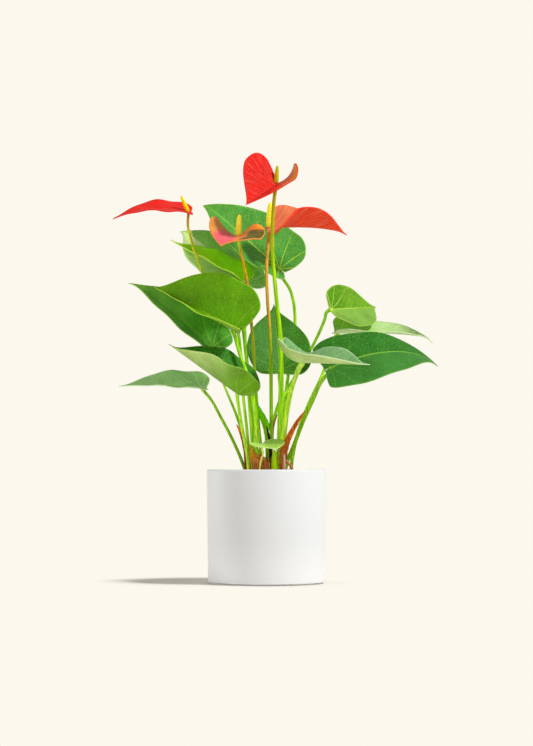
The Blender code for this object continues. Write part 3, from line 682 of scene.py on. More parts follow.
def outline(form):
    """Rim of the flat blade, from the notch's left side round the tip to its right side."""
    length, back, half = form["length"], form["back"], form["width"] / 2
    halves = []
    for side in (LEFT, RIGHT):
        widest = of_side(form["widest"], side) * length
        lobe = of_side(form["lobe_at"], side) * half
        notch = (-NOTCH_DEPTH * length, form["notch"] * half)
        run = length - widest
        tip_part = bezier(
            (length, 0.0), (length - TIP_PULL * run, form["taper"] * half),
            (widest + of_side(form["full"], side) * run, half), (widest, half), TIP_STEPS,
        )
        shoulder_part = bezier(
            (widest, half), (widest - SHOULDER_PULL * (widest + back), half),
            (-back, 0.5 * (lobe + half)), (-back, lobe), SHOULDER_STEPS,
        )
        lobe_part = bezier(
            (-back, lobe), (-back, LOBE_PULL * lobe), (-0.5 * back, notch[1]), notch, LOBE_STEPS,
        )
        halves.append(np.concatenate([tip_part, shoulder_part[1:], lobe_part[1:]]))
    return np.concatenate([halves[LEFT][::-1], halves[RIGHT][1:] * (1.0, -1.0)])


# %% [markdown]
# The flat heart is then bent. First the midrib is drawn as a curve in the blade's own
# upright plane, drooping forward and rising between the lobes. Then each half is hung
# on it at its fold angle, and bends on as an arc, which makes it cupped or rolled back.
# A real fold is a soft gutter and not a crease, so the rise starts gently within a few
# millimetres of the midrib.

# %% Bend of a blade
GUTTER = 0.0016
MIDRIB_SAMPLES = 200
HOOK_FROM = 0.8
LOBE_REACH = 0.35
LOBE_MOST = 1.6
LOBE_EASE = 1.5
SIDES_APART = 1.3


def midrib(form, along):
    """Where the midrib is at each distance from the joint, with its forward and up directions."""
    length, back = form["length"], form["back"]
    ahead = np.linspace(0.0, length, MIDRIB_SAMPLES)
    behind = np.linspace(-max(back, NOTCH_DEPTH * length), 0.0, MIDRIB_SAMPLES)[:-1]
    distance = np.concatenate([behind, ahead])
    x = ahead / length
    past_hook = np.clip((x - HOOK_FROM) / (1 - HOOK_FROM), 0, 1)
    droop = form["arch0"] * x + form["arch"] * x * x + form["hook"] * past_hook**2
    slope = np.radians(np.concatenate([form["rear"] * -behind / back, droop]))
    forward = np.stack([np.cos(slope), 0 * slope, -np.sin(slope)], axis=-1)
    steps = np.diff(distance, prepend=distance[0])[:, None]
    route = np.cumsum(forward * steps, axis=0)
    route -= [np.interp(0.0, distance, route[:, k]) for k in range(3)]
    place = np.stack([np.interp(along, distance, route[:, k]) for k in range(3)], axis=-1)
    ahead_way = np.stack([np.interp(along, distance, forward[:, k]) for k in range(3)], axis=-1)
    ahead_way /= np.linalg.norm(ahead_way, axis=-1, keepdims=True)
    up = np.cross(ahead_way, (0.0, 1.0, 0.0))
    return place, ahead_way, up


def bent(form, flat):
    """The flat blade's points bent to shape, in the blade's own frame."""
    along, across = flat[:, 0], flat[:, 1]
    length, half = form["length"], form["width"] / 2
    place, forward, up = midrib(form, along)
    left = np.cross(up, forward)
    on_left = across >= 0
    near_lobes = np.clip(1 - along / (LOBE_REACH * length), 0, LOBE_MOST) ** LOBE_EASE
    fold = np.radians(np.where(on_left, *form["fold"]) + near_lobes * np.where(on_left, *form["lobe_fold"]))
    curl = np.radians(np.where(on_left, *form["curl"]) + near_lobes * np.where(on_left, *form["lobe_curl"]))
    out = np.abs(across) / half
    half_turn = 0.5 * curl * out
    chord = across * np.sinc(half_turn / np.pi)
    ripple = np.sin(2 * np.pi * form["waves"] * along / length + np.where(on_left, 0, SIDES_APART))
    rise = np.abs(chord) * np.sin(fold + half_turn) + form["wave"] * out**2 * ripple
    sunk = np.abs(across) + GUTTER - np.sqrt(across**2 + GUTTER**2)
    rise -= sunk * np.sin(fold)
    sideways = chord * np.cos(fold + half_turn)
    return place + left * sideways[:, None] + up * rise[:, None]


def blade_frame(form):
    """Blade frame in the world: X towards the tip, Y to the left and Z out of the top face."""
    turn = Matrix.Rotation(math.radians(form["heading"]), 4, "Z")
    tilt = Matrix.Rotation(math.radians(-form["pitch"]), 4, "Y")
    lean = Matrix.Rotation(math.radians(-form["roll"]), 4, "X")
    return Matrix.Translation(form["at"]) @ turn @ tilt @ lean


# %% [markdown]
# Now the blade itself. A grid is added, and its points are laid out as a fan: one side of
# the grid shrinks to the joint, the other runs round the rim. The operators can't know
# this plant's outline, so the layout is code, but the joining of the doubles, the
# thickness and the smooth shading are done as by hand. Two UV maps go with the blade,
# so that its veins can be painted later: "blade" holds the flat heart in shares of its
# length, and "margin" holds the distance from the edge in centimetres and, beside it, the
# place along the rim.

# %% Make a blade
MARGIN_UNIT = 0.01


def to_margin(flat, rim):
    """How far each point of the flat blade is from its rim."""
    starts, ends = rim[:-1], rim[1:]
    spans = ends - starts
    away = flat[:, None, :] - starts[None]
    share = np.clip((away * spans).sum(-1) / (spans**2).sum(-1), 0.0, 1.0)
    return np.linalg.norm(away - share[..., None] * spans, axis=-1).min(axis=1)


def add_blade(name, form, thickness):
    """A heart-shaped blade with a top face, an underside and two UV maps for its veins."""
    rim = outline(form)
    sectors = len(rim) - 1
    bpy.ops.object.select_all(action="DESELECT")
    bpy.ops.mesh.primitive_grid_add(x_subdivisions=sectors, y_subdivisions=BLADE_RINGS, size=2.0)
    blade = named(name)
    grid = points_of(blade.data)
    sector = grid_steps(grid[:, 0], sectors)
    ring = grid_steps(grid[:, 1], BLADE_RINGS) / BLADE_RINGS
    flat = rim[sector] * ring[:, None]
    move_points(blade.data, bent(form, flat))
    corners = np.empty(len(blade.data.loops), int)
    blade.data.loops.foreach_get("vertex_index", corners)
    edge = to_margin(flat, rim)
    maps = {
        "blade": flat / form["length"],
        "margin": np.stack([edge / MARGIN_UNIT, sector / sectors], axis=-1),
    }
    while blade.data.uv_layers:
        blade.data.uv_layers.remove(blade.data.uv_layers[0])
    for title, values in maps.items():
        layer = blade.data.uv_layers.new(name=title)
        layer.data.foreach_set("uv", values[corners].ravel())
    bpy.ops.object.mode_set(mode="EDIT")
    merge_doubles()
    bpy.ops.object.mode_set(mode="OBJECT")
    blade.matrix_world = blade_frame(form)
    solid = thicken(blade, thickness)
    solid.material_offset = 1
    solid.material_offset_rim = 1
    blade.data.materials.append(None)
    blade.data.materials.append(None)
    apply_all(blade)
    return blade


# %% [markdown]
# ## The skin of a leaf
#
# A leaf's top is waxy green. A pale midrib runs to the tip, side veins leave it in
# arches, a few strong veins fan out from the joint into the lobes, and a thin pale line
# follows the edge. All of this is drawn by sums on the two UV maps. The same pattern
# lowers the surface a little along the veins, so that the light breaks over it as on a
# real leaf. The underside is paler and duller, and its veins stand out instead.

# %% Draw the veins
RIB_AT_TIP = 0.002
RIB_WIDENS = 0.007
FAN_FROM_RIB = 0.10
FAN_SWEEP = 0.35
FAN_FADES = (0.16, 0.50)
STREAKS_ACROSS_VEINS = 70.0
STREAKS_ALONG_VEINS = 5.0
STREAK_DEPTH = 0.0005


def vein_pattern(skin, thin=0.004, pitch=0.105, lean=0.62, curl=0.75, fan_gap=0.29):
    """What a blade's skin is painted by: its midrib, side veins, fan at the joint and border as
    numbers from 0 to 1, fine streaks along the veins, which side it is, and how far out."""
    x, side = skin.uv("blade")
    edge, _ = skin.uv("margin")
    y = skin.sum("ABSOLUTE", side)
    rib_width = skin.sum("MULTIPLY_ADD", skin.sum("SUBTRACT", 1.0, x), RIB_WIDENS, RIB_AT_TIP)
    rib = skin.step(skin.sum("DIVIDE", y, rib_width), 0.5, 1.3, 1.0, 0.0)
    bow = skin.sum("MULTIPLY", skin.sum("MULTIPLY", y, y), curl)
    arch = skin.sum("SUBTRACT", skin.sum("SUBTRACT", x, skin.sum("MULTIPLY", y, lean)), bow)
    nearest = skin.sum("PINGPONG", skin.sum("ADD", arch, 5 * pitch), pitch / 2)
    beside = skin.step(nearest, thin * 0.3, thin * 1.3, 1.0, 0.0)
    ahead = skin.step(arch, 0.015, 0.035)
    angle = skin.sum("ARCTAN2", y, x)
    away = skin.sum("SQRT", skin.sum("ADD", skin.sum("MULTIPLY", x, x), skin.sum("MULTIPLY", y, y)))
    swept = skin.sum("SUBTRACT", angle, skin.sum("MULTIPLY", away, FAN_SWEEP))
    spread = skin.sum("PINGPONG", skin.sum("ADD", swept, FAN_FROM_RIB), fan_gap)
    fan_line = skin.step(skin.sum("MULTIPLY", spread, away), thin * 0.4, thin * 1.6, 1.0, 0.0)
    near_joint = skin.step(away, *FAN_FADES, 1.0, 0.0)
    from_vein_to_vein = skin.mix(ahead, swept, arch)
    grain = skin.node("CombineXYZ")
    skin.feed(grain.inputs["X"], skin.sum("MULTIPLY", from_vein_to_vein, STREAKS_ACROSS_VEINS))
    skin.feed(grain.inputs["Y"], skin.sum("MULTIPLY", y, STREAKS_ALONG_VEINS))
    return {
        "rib": rib,
        "veins": skin.mix(ahead, fan_line, beside),
        "fan": skin.sum("MULTIPLY", fan_line, near_joint),
        "border": skin.step(edge, 0.03, 0.10, 1.0, 0.0),
        "streaks": skin.noise(grain.outputs[0], scale=1.0, rough=0.6),
        "left": skin.step(side, -0.01, 0.01),
        "along": x,
        "out": y,
    }


def ribbed(skin, parts, raised, side_veins, streaks, strength, depth):
    """The bump of a blade's face. Its veins stand out where it is raised and lie sunk where not,
    with the side veins a share of the midrib's height, and fine streaks run along them."""
    ridge = skin.sum("MAXIMUM", skin.sum("MULTIPLY", parts["veins"], side_veins), parts["rib"])
    height = skin.sum("MULTIPLY", ridge, 1.0 if raised else -1.0)
    veined = skin.bump(height, strength, depth)
    return skin.bump(parts["streaks"], streaks, STREAK_DEPTH, under=veined)


# %% [markdown]
# Each face of a leaf starts from one plain green, or from two or three where its halves or its tip differ.
# Soft patches, dark grain streaks, a fine net and pale specks break that up. Pale streaks in soft patches
# are a painted sheen, a painted highlight that stands in for the leaf's gloss. They come from noise and
# from a cell pattern, and the veins are laid over them last.

# %% Paint a leaf's skin
REACH = (0.25, 0.45)
END_REACH = (0.62, 0.82)
SHADOWED_LEAF = (0.70, 0.75, 0.70)
SUNLIT_LEAF = (1.12, 1.13, 1.12)
DEEP_STREAK = (0.62, 0.74, 0.55)
PALE_SHARE = 0.45
NET_SHARE = 0.28


def leaf_skin(name, colour, vein, show, right=None, tip=None, reach=REACH, end=None, fan=0.4,
              keel=0.7, rim=0.35, painted_sheen_and_grain=0.3, roughness=0.42, raised=False):
    """One face of a leaf. "right" is the colour of its right half and "tip" that of its outer part, from
    one share of its length to the other of "reach", and "end" that of its last third, where they differ.
    The other shares say how much its side veins, fan, midrib and rim show. The sheen share says how
    strongly the painted sheen shows: pale streaks in soft patches, a painted highlight for the leaf's
    gloss. At the same share it also sets the dark grain streaks."""
    skin = Finish(name, roughness=roughness, Specular_IOR_Level=0.11)
    skin.set("Specular Tint", tuple(0.35 + 0.65 * c / max(colour) for c in colour))
    parts = vein_pattern(skin)
    green = colour
    if tip is not None:
        green = skin.mix(skin.step(parts["along"], *reach), colour, tip)
    if end is not None:
        green = skin.mix(skin.step(parts["along"], *END_REACH), green, end)
    if right is not None:
        green = skin.mix(parts["left"], right, green)
    mottle = skin.noise(skin.place(), scale=42.0, detail=4.0, rough=0.6)
    green = skin.tinted(green, skin.mix(skin.step(mottle, 0.30, 0.72), SHADOWED_LEAF, SUNLIT_LEAF))
    # Painted highlight: pale streaks in soft patches stand in for the gloss of the leaf.
    painted_sheen_patch = skin.step(skin.noise(skin.place(), scale=26.0, detail=2.0), 0.40, 0.62)
    painted_sheen_streak = skin.sum("MULTIPLY", skin.step(parts["streaks"], 0.50, 0.72), painted_sheen_patch)
    pale = tuple((1 - PALE_SHARE) * a + PALE_SHARE * b for a, b in zip(colour, vein))
    green = skin.over(green, pale, painted_sheen_streak, painted_sheen_and_grain)
    deep = skin.tinted(green, DEEP_STREAK)
    green = skin.mix(skin.step(parts["streaks"], 0.32, 0.48, painted_sheen_and_grain, 0.0), green, deep)
    fine = skin.noise(skin.place(), scale=600.0, rough=0.6)
    green = skin.mix(skin.step(fine, 0.45, 0.75, 0.0, 0.45), green, pale)
    green = skin.over(green, pale, skin.web(skin.place(), scale=330.0, thin=0.16), NET_SHARE)
    speck = skin.noise(skin.place(), scale=380.0, detail=1.0)
    green = skin.mix(skin.step(speck, 0.68, 0.76, 0.0, 0.40), green, vein)
    for mask, share in (("veins", show), ("fan", fan), ("border", rim), ("rib", keel)):
        green = skin.over(green, vein, parts[mask], share)
    skin.set("Base Color", green)
    relief = ribbed(skin, parts, raised, side_veins=0.5, streaks=0.35, strength=0.4, depth=0.0005)
    skin.set("Normal", skin.bump(fine, strength=0.12, distance=0.0002, under=relief))
    skin.set("Roughness", skin.step(mottle, 0.2, 0.8, roughness - 0.06, roughness + 0.08))
    return skin.material


# %% [markdown]
# ## Petioles and flower stalks
#
# A petiole is the stalk of a leaf. It leaves the soil straight, bows outwards, and ends in
# a slightly thicker knuckle that turns the blade to the light. It is drawn as a curve
# through the same points as the solid, given a round bevel whose radius changes from
# point to point, and converted to a mesh.

# %% Draw a stalk
HOLE_BOTTOM = 0.0880
GAP = 0.0003
STALK_STEPS = 10
STRAIGHT_ABOVE_SOIL = 0.004
KNUCKLE_BEHIND = 0.003
KNUCKLE_BELOW = 0.004


def smooth_route(points, steps):
    """One smooth curve that leaves the first point straight up and passes through the rest."""
    points = np.array(points, float)
    spans = np.linalg.norm(np.diff(points, axis=0), axis=1)
    ways = np.diff(points, axis=0) / spans[:, None]
    tangents = [np.array((0.0, 0.0, 1.0))]
    for i in range(len(spans) - 1):
        tangents.append((ways[i] * spans[i + 1] + ways[i + 1] * spans[i]) / (spans[i] + spans[i + 1]))
    tangents.append(ways[-1])
    t = np.linspace(0.0, 1.0, steps + 1)[1:, None]
    route = [points[:1]]
    for i, span in enumerate(spans):
        route.append(
            (2 * t**3 - 3 * t**2 + 1) * points[i]
            + (t**3 - 2 * t**2 + t) * span * tangents[i]
            + (3 * t**2 - 2 * t**3) * points[i + 1]
            + (t**3 - t**2) * span * tangents[i + 1]
        )
    return np.concatenate(route)


def stalk_route(hand_points):
    """The whole stalk: straight up through the soil, then along its own points."""
    foot_x, foot_y = hand_points[0]
    in_hole = [(foot_x, foot_y, HOLE_BOTTOM + GAP)]
    above = [(foot_x, foot_y, SOIL_TOP + STRAIGHT_ABOVE_SOIL), *hand_points[1:]]
    return np.concatenate([in_hole, smooth_route(above, STALK_STEPS)])


def add_tube(name, route, radius, swell, swell_length=0.012):
    """A round stalk along a route, thinning upwards, with a thicker knuckle at its end."""
    bpy.ops.object.select_all(action="DESELECT")
    bpy.ops.curve.primitive_nurbs_path_add(location=(0.0, 0.0, 0.0))
    stalk = named(name)
    stalk.data.splines.clear()
    stalk.data.dimensions = "3D"
    stalk.data.bevel_depth = 1.0
    stalk.data.bevel_resolution = 5
    stalk.data.use_fill_caps = True
    line = stalk.data.splines.new("POLY")
    line.points.add(len(route) - 1)
    gone = np.concatenate([[0.0], np.cumsum(np.linalg.norm(np.diff(route, axis=0), axis=1))])
    for point, place, here in zip(line.points, route, gone):
        share = here / gone[-1]
        to_end = gone[-1] - here
        knuckle = 1.0 + swell * math.exp(-((to_end / swell_length) ** 2))
        point.co = (*place, 1.0)
        point.radius = (radius[0] + share * (radius[1] - radius[0])) * knuckle
    bpy.ops.object.convert(target="MESH")
    stalk = bpy.context.object
    bpy.ops.object.mode_set(mode="EDIT")
    merge_doubles()
    bpy.ops.mesh.normals_make_consistent(inside=False)
    bpy.ops.object.mode_set(mode="OBJECT")
    bpy.ops.object.shade_smooth()
    return stalk


# %% [markdown]
# A stalk's colour changes along it: paler and yellower near the soil, greener above, and
# on the flower stalks brown or reddish just below the bloom. Height gives that change.
# Fine lengthwise streaks come from a noise that is stretched upwards.

# %% Colour a stalk
PALE_LINE = (1.55, 1.35, 1.55)
DARK_LINE = (0.72, 0.82, 0.72)


def stalk_skin(name, stops):
    """A stalk whose colour follows its height. Stops are (height, colour) from low to high."""
    skin = Finish(name, roughness=0.42, Specular_IOR_Level=0.08)
    skin.set("Specular Tint", (0.85, 1.0, 0.55))
    height = skin.height()
    streaks = skin.noise(skin.place(scale=(1.0, 1.0, 0.04)), scale=700.0, rough=0.6)
    colour = stops[0][1]
    for (low, _), (high, upper) in zip(stops[:-1], stops[1:]):
        colour = skin.mix(skin.step(height, low, high), colour, upper)
    pale = skin.tinted(colour, PALE_LINE)
    dark = skin.tinted(colour, DARK_LINE)
    skin.set("Base Color", skin.mix(skin.step(streaks, 0.38, 0.66), dark, pale))
    skin.set("Normal", skin.bump(streaks, strength=0.35, distance=0.0004))
    return skin.material


# %% [markdown]
# ## The thirteen leaves
#
# Each leaf has its own form, pose and petiole, as in the solids, and its own greens: the old leaves are
# dark and bluish, the young ones bright and yellowish. The top of leaf_03 and the left half of leaf_02's
# top are painted lighter still, partly their own pale green and partly painted light. Where the photograph
# shows an underside, it is paler than the top.

# %% Forms of the leaves
LEAVES = {
    "leaf_01": dict(
        at=(0.0145, 0.045, 0.3380), length=0.110, width=0.090, back=0.012, widest=(0.14, 0.10),
        taper=0.55, full=(0.85, 0.55), heading=180, pitch=42, roll=50, fold=(24, 22),
        lobe_fold=(8, 0), arch=4, hook=30,
        radius=(0.0022, 0.0016),
        petiole=[(0.014, 0.013), (0.016, 0.016, 0.150), (0.019, 0.026, 0.179), (0.022, 0.037, 0.211),
                 (0.026, 0.044, 0.239), (0.030, 0.050, 0.266), (0.031, 0.051, 0.289),
                 (0.026, 0.050, 0.315)],
    ),
    "leaf_02": dict(
        at=(-0.0211, 0.038, 0.3213), length=0.094, width=0.078, back=0.016, full=(0.95, 0.80),
        taper=0.45, heading=180, pitch=43, roll=40, fold=(-4, 2), arch=12, hook=30,
        radius=(0.0019, 0.0014),
        petiole=[(-0.010, 0.010), (-0.017, 0.013, 0.195), (-0.021, 0.019, 0.239),
                 (-0.023, 0.026, 0.270), (-0.022, 0.033, 0.298)],
    ),
    "leaf_03": dict(
        at=(-0.0300, 0.014, 0.3247), length=0.084, width=0.060, back=0.012, widest=0.16,
        heading=180, pitch=30, roll=22, fold=(22, 18), lobe_fold=(0, 8),
        radius=(0.0019, 0.0014),
        petiole=[(-0.014, 0.002), (-0.019, 0.005, 0.200), (-0.022, 0.008, 0.241),
                 (-0.025, 0.010, 0.269), (-0.028, 0.011, 0.299)],
    ),
    "leaf_04": dict(
        at=(-0.0359, -0.015, 0.2681), length=0.100, width=0.100, back=0.014, widest=0.14, taper=0.22,
        lobe_at=0.65, heading=168, pitch=32, roll=44, fold=(44, 46), lobe_fold=(8, 0), arch=14,
        radius=(0.0023, 0.0018),
        petiole=[(-0.011, -0.012), (-0.011, -0.017, 0.160), (-0.012, -0.023, 0.185),
                 (-0.015, -0.025, 0.202), (-0.022, -0.021, 0.225), (-0.029, -0.015, 0.245)],
    ),
    "leaf_05": dict(
        at=(-0.0573, 0.017, 0.2518), length=0.116, width=0.070, back=0.012, widest=0.25,
        heading=178, pitch=41, roll=32, fold=(20, 26), arch=8, hook=30,
        radius=(0.0017, 0.0012),
        petiole=[(-0.020, -0.001), (-0.0235, 0.001, 0.152), (-0.032, 0.004, 0.178),
                 (-0.047, 0.012, 0.215)],
    ),
    "leaf_06": dict(
        at=(-0.0306, -0.026, 0.1999), length=0.089, width=0.078, back=0.016, notch=0.16,
        heading=182, pitch=36, roll=10, fold=(40, 54), lobe_fold=(14, 0),
        radius=(0.0021, 0.0016),
        petiole=[(-0.0185, -0.0155), (-0.021, -0.0175, 0.140), (-0.026, -0.020, 0.165),
                 (-0.029, -0.024, 0.184)],
    ),
    "leaf_07": dict(
        at=(-0.0684, -0.010, 0.2068), length=0.088, width=0.058, back=0.007, widest=0.16,
        heading=180, pitch=5, roll=21, fold=(18, 18), arch=12,
        radius=(0.0019, 0.0014),
        petiole=[(-0.0205, -0.0075), (-0.0245, -0.0075, 0.125), (-0.036, -0.008, 0.152),
                 (-0.048, -0.009, 0.175), (-0.060, -0.010, 0.196)],
    ),
    "leaf_08": dict(
        at=(0.0145, 0.020, 0.2265), length=0.084, width=0.072, back=0.006,
        heading=100, pitch=63, roll=-3, fold=(10, 10),
        radius=(0.0021, 0.0017),
        petiole=[(0.012, 0.001), (0.013, 0.005, 0.155), (0.014, 0.015, 0.190), (0.0145, 0.022, 0.210)],
    ),
    "leaf_09": dict(
        at=(0.0379, -0.030, 0.2329), length=0.084, width=0.060, back=0.043, widest=0.12, lobe_at=0.40,
        heading=-35, pitch=-3, roll=-8, fold=(34, 25), lobe_fold=(-13, 10), rear=76, wave=0.0004,
        radius=(0.0030, 0.0024),
        petiole=[(0.016, -0.020), (0.018, -0.022, 0.150), (0.022, -0.025, 0.185), (0.028, -0.028, 0.211)],
    ),
    "leaf_10": dict(
        at=(0.0684, -0.010, 0.2282), length=0.136, width=0.080, back=0.010, widest=(0.04, 0.22),
        full=(0.60, 0.50), lobe_at=(0.8, 0.6), heading=0, pitch=24, roll=-48, fold=(2, 4),
        arch0=40, arch=34,
        radius=(0.0024, 0.0018),
        petiole=[(0.0190, -0.004), (0.0214, -0.004, 0.127), (0.0275, -0.004, 0.142),
                 (0.0395, -0.005, 0.173), (0.0492, -0.006, 0.194), (0.058, -0.007, 0.213)],
    ),
    "leaf_11": dict(
        at=(0.0701, 0.030, 0.2930), length=0.081, width=0.054, back=0.004, widest=(0.22, 0.36),
        full=(0.45, 0.90), heading=50, pitch=5, roll=-62, fold=(24, 14), lobe_fold=(-4, 0),
        lobe_curl=(0, 30), wave=0.0004,
        radius=(0.0020, 0.0016),
        petiole=[(0.003, 0.011), (0.006, 0.014, 0.163), (0.013, 0.021, 0.191), (0.025, 0.031, 0.211),
                 (0.046, 0.039, 0.247), (0.055, 0.039, 0.264), (0.063, 0.036, 0.283)],
    ),
    "leaf_12": dict(
        at=(0.0780, 0.058, 0.2691), length=0.108, width=0.064, back=0.004, lobe_at=0.5,
        widest=(0.28, 0.22), full=(0.75, 0.62), heading=6, pitch=2, roll=-18, fold=(13, 18),
        lobe_fold=(24, 6), arch0=4, arch=8, hook=50, waves=1.5,
        radius=(0.0020, 0.0016),
        petiole=[(0.026, 0.010), (0.033, 0.018, 0.157), (0.045, 0.031, 0.190), (0.060, 0.046, 0.222),
                 (0.071, 0.056, 0.252)],
    ),
    "leaf_13": dict(
        at=(-0.0026, -0.0355, 0.1470), length=0.0225, width=0.041, back=0.007, widest=0.34,
        heading=-50, pitch=-14, roll=-2, fold=(15, 3), wave=0.0,
        radius=(0.0011, 0.0008),
        petiole=[(-0.0070, -0.0365), (-0.0060, -0.0365, 0.128), (-0.0035, -0.0365, 0.138)],
    ),
}

# %% Greens of the leaves
# The sheen share of each leaf sets how strongly its painted highlight streaks show, and the dark grain
# streaks beside them.
LEAF_GREENS = {
    "leaf_01": dict(top=(0.030, 0.255, 0.042), under=(0.17, 0.38, 0.06), vein=(0.50, 0.72, 0.05),
                    right=(0.046, 0.28, 0.042), show=0.14, fan=0.6, keel=0.7),
    # The left half of leaf_02's top is painted far lighter than its right half: partly its own paler green,
    # and partly painted light for a half that lies in shade.
    "leaf_02": dict(top=(0.65, 0.90, 0.32), under=(0.40, 0.80, 0.20), vein=(0.90, 0.98, 0.70),
                    right=(0.20, 0.66, 0.035), keel=0.9, painted_sheen_and_grain=0.5, show=0.2),
    # leaf_03's top is painted brighter than a leaf's green can be: partly the yellow-green of a young leaf,
    # and partly painted light that stands in for the light shining through it.
    "leaf_03": dict(top=(0.31, 0.90, 0.0005), under=(0.50, 0.80, 0.08), vein=(0.60, 0.92, 0.08),
                    show=0.10, fan=0.2, keel=0.6, rim=0.7, painted_sheen_and_grain=0.10),
    "leaf_04": dict(top=(0.108, 0.33, 0.001), under=(0.36, 0.60, 0.04), vein=(0.42, 0.66, 0.05),
                    show=0.10, fan=0.25, keel=0.35, painted_sheen_and_grain=0.2),
    "leaf_05": dict(top=(0.042, 0.27, 0.012), under=(0.30, 0.56, 0.14), vein=(0.42, 0.66, 0.10),
                    tip=(0.125, 0.41, 0.048), show=0.08, fan=0.4, keel=0.35, painted_sheen_and_grain=0.35),
    "leaf_06": dict(top=(0.016, 0.19, 0.002), under=(0.135, 0.34, 0.003), vein=(0.36, 0.56, 0.12),
                    tip=(0.003, 0.13, 0.001), under_tip=(0.58, 0.72, 0.26), reach=(0.05, 0.68),
                    show=0.10, fan=0.2, keel=0.6, painted_sheen_and_grain=0.25),
    "leaf_07": dict(top=(0.30, 0.58, 0.170), under=(0.44, 0.66, 0.24), vein=(0.78, 0.95, 0.66),
                    show=0.20, fan=0.3, keel=0.4, painted_sheen_and_grain=0.8),
    "leaf_08": dict(top=(0.028, 0.155, 0.015), under=(0.16, 0.36, 0.08), vein=(0.28, 0.56, 0.04),
                    show=0.08, fan=0.35, keel=0.6, painted_sheen_and_grain=0.2),
    "leaf_09": dict(top=(0.130, 0.35, 0.095), under=(0.56, 0.72, 0.22), vein=(0.80, 0.92, 0.66),
                    show=0.25, fan=0.3, keel=0.5, painted_sheen_and_grain=0.8),
    "leaf_10": dict(top=(0.013, 0.136, 0.014), under=(0.16, 0.36, 0.08), vein=(0.24, 0.50, 0.05),
                    right=(0.032, 0.180, 0.028), show=0.06, fan=0.15, keel=0.7, painted_sheen_and_grain=0.35),
    "leaf_11": dict(top=(0.055, 0.22, 0.0005), under=(0.28, 0.48, 0.08), vein=(0.52, 0.70, 0.10),
                    tip=(0.105, 0.31, 0.006), right=(0.170, 0.36, 0.050), reach=(0.20, 0.36),
                    show=0.30, fan=0.8, keel=0.7, painted_sheen_and_grain=0.35),
    "leaf_12": dict(top=(0.26, 0.66, 0.005), under=(0.50, 0.68, 0.22), vein=(0.80, 0.88, 0.62),
                    tip=(0.42, 0.60, 0.220), under_tip=(0.42, 0.60, 0.22), end=(0.08, 0.13, 0.04),
                    show=0.12, fan=0.2, keel=0.4, painted_sheen_and_grain=0.5),
    "leaf_13": dict(top=(0.36, 0.62, 0.065), under=(0.44, 0.70, 0.12), vein=(0.80, 0.95, 0.40),
                    show=0.30, fan=0.4, keel=0.4, painted_sheen_and_grain=0.6),
}
STALK_GREEN = [(0.120, (0.50, 0.80, 0.050)), (0.19, (0.38, 0.76, 0.015)), (0.27, (0.27, 0.62, 0.010))]
STALK_DARK = [(0.120, (0.20, 0.46, 0.001)), (0.18, (0.20, 0.46, 0.002)), (0.22, (0.34, 0.58, 0.05))]
STALK_BRIGHT = [(0.120, (0.50, 0.80, 0.050)), (0.20, (0.40, 0.68, 0.030)), (0.23, (0.46, 0.70, 0.09))]
STALK_PALE = [(0.115, (0.80, 0.88, 0.08)), (0.14, (0.95, 0.98, 0.24))]
leaf_stalk = stalk_skin("petiole_skin", STALK_GREEN)
dark_stalk = stalk_skin("petiole_dark", STALK_DARK)
LEAF_STALKS = {
    "leaf_05": dark_stalk,
    "leaf_07": dark_stalk,
    "leaf_10": dark_stalk,
    "leaf_09": stalk_skin("petiole_bright", STALK_BRIGHT),
    "leaf_13": stalk_skin("petiole_pale", STALK_PALE),
}

# %% [markdown]
# One loop makes every leaf: its blade, with a finish for each face, and its petiole, which
# runs from the soil by way of a knuckle under the blade to the joint.

# %% Make the leaves
YOUNG_LEAVES = ("leaf_03", "leaf_11", "leaf_13")
UNDERSIDE = dict(show=0.2, painted_sheen_and_grain=0.5, roughness=0.5, raised=True)

for name, own in LEAVES.items():
    form = {**BLADE, **own}
    greens = dict(LEAF_GREENS[name])
    top_green, under_green = greens.pop("top"), greens.pop("under")
    under_tip = greens.pop("under_tip", None)
    blade = add_blade(name + "_blade", form, LEAF_THICKNESS)
    top = leaf_skin(name + "_top", top_green, **greens)
    under = leaf_skin(
        name + "_under", under_green, greens["vein"], tip=under_tip, reach=greens.get("reach", REACH),
        **UNDERSIDE,
    )
    finished(blade, name, "young_leaf" if name in YOUNG_LEAVES else "leaf", top, under)
    here = blade_frame(form)
    knuckle = here @ Vector((-KNUCKLE_BEHIND, 0.0, -KNUCKLE_BELOW))
    joint = here @ Vector((0.5 * LEAF_THICKNESS, 0.0, 0.1 * LEAF_THICKNESS))
    route = stalk_route([*form["petiole"], tuple(knuckle), tuple(joint)])
    petiole = add_tube(name + "_petiole", route, form["radius"], swell=0.25)
    finished(petiole, name, "petiole", LEAF_STALKS.get(name, leaf_stalk))
print("leaves:", len(LEAVES))
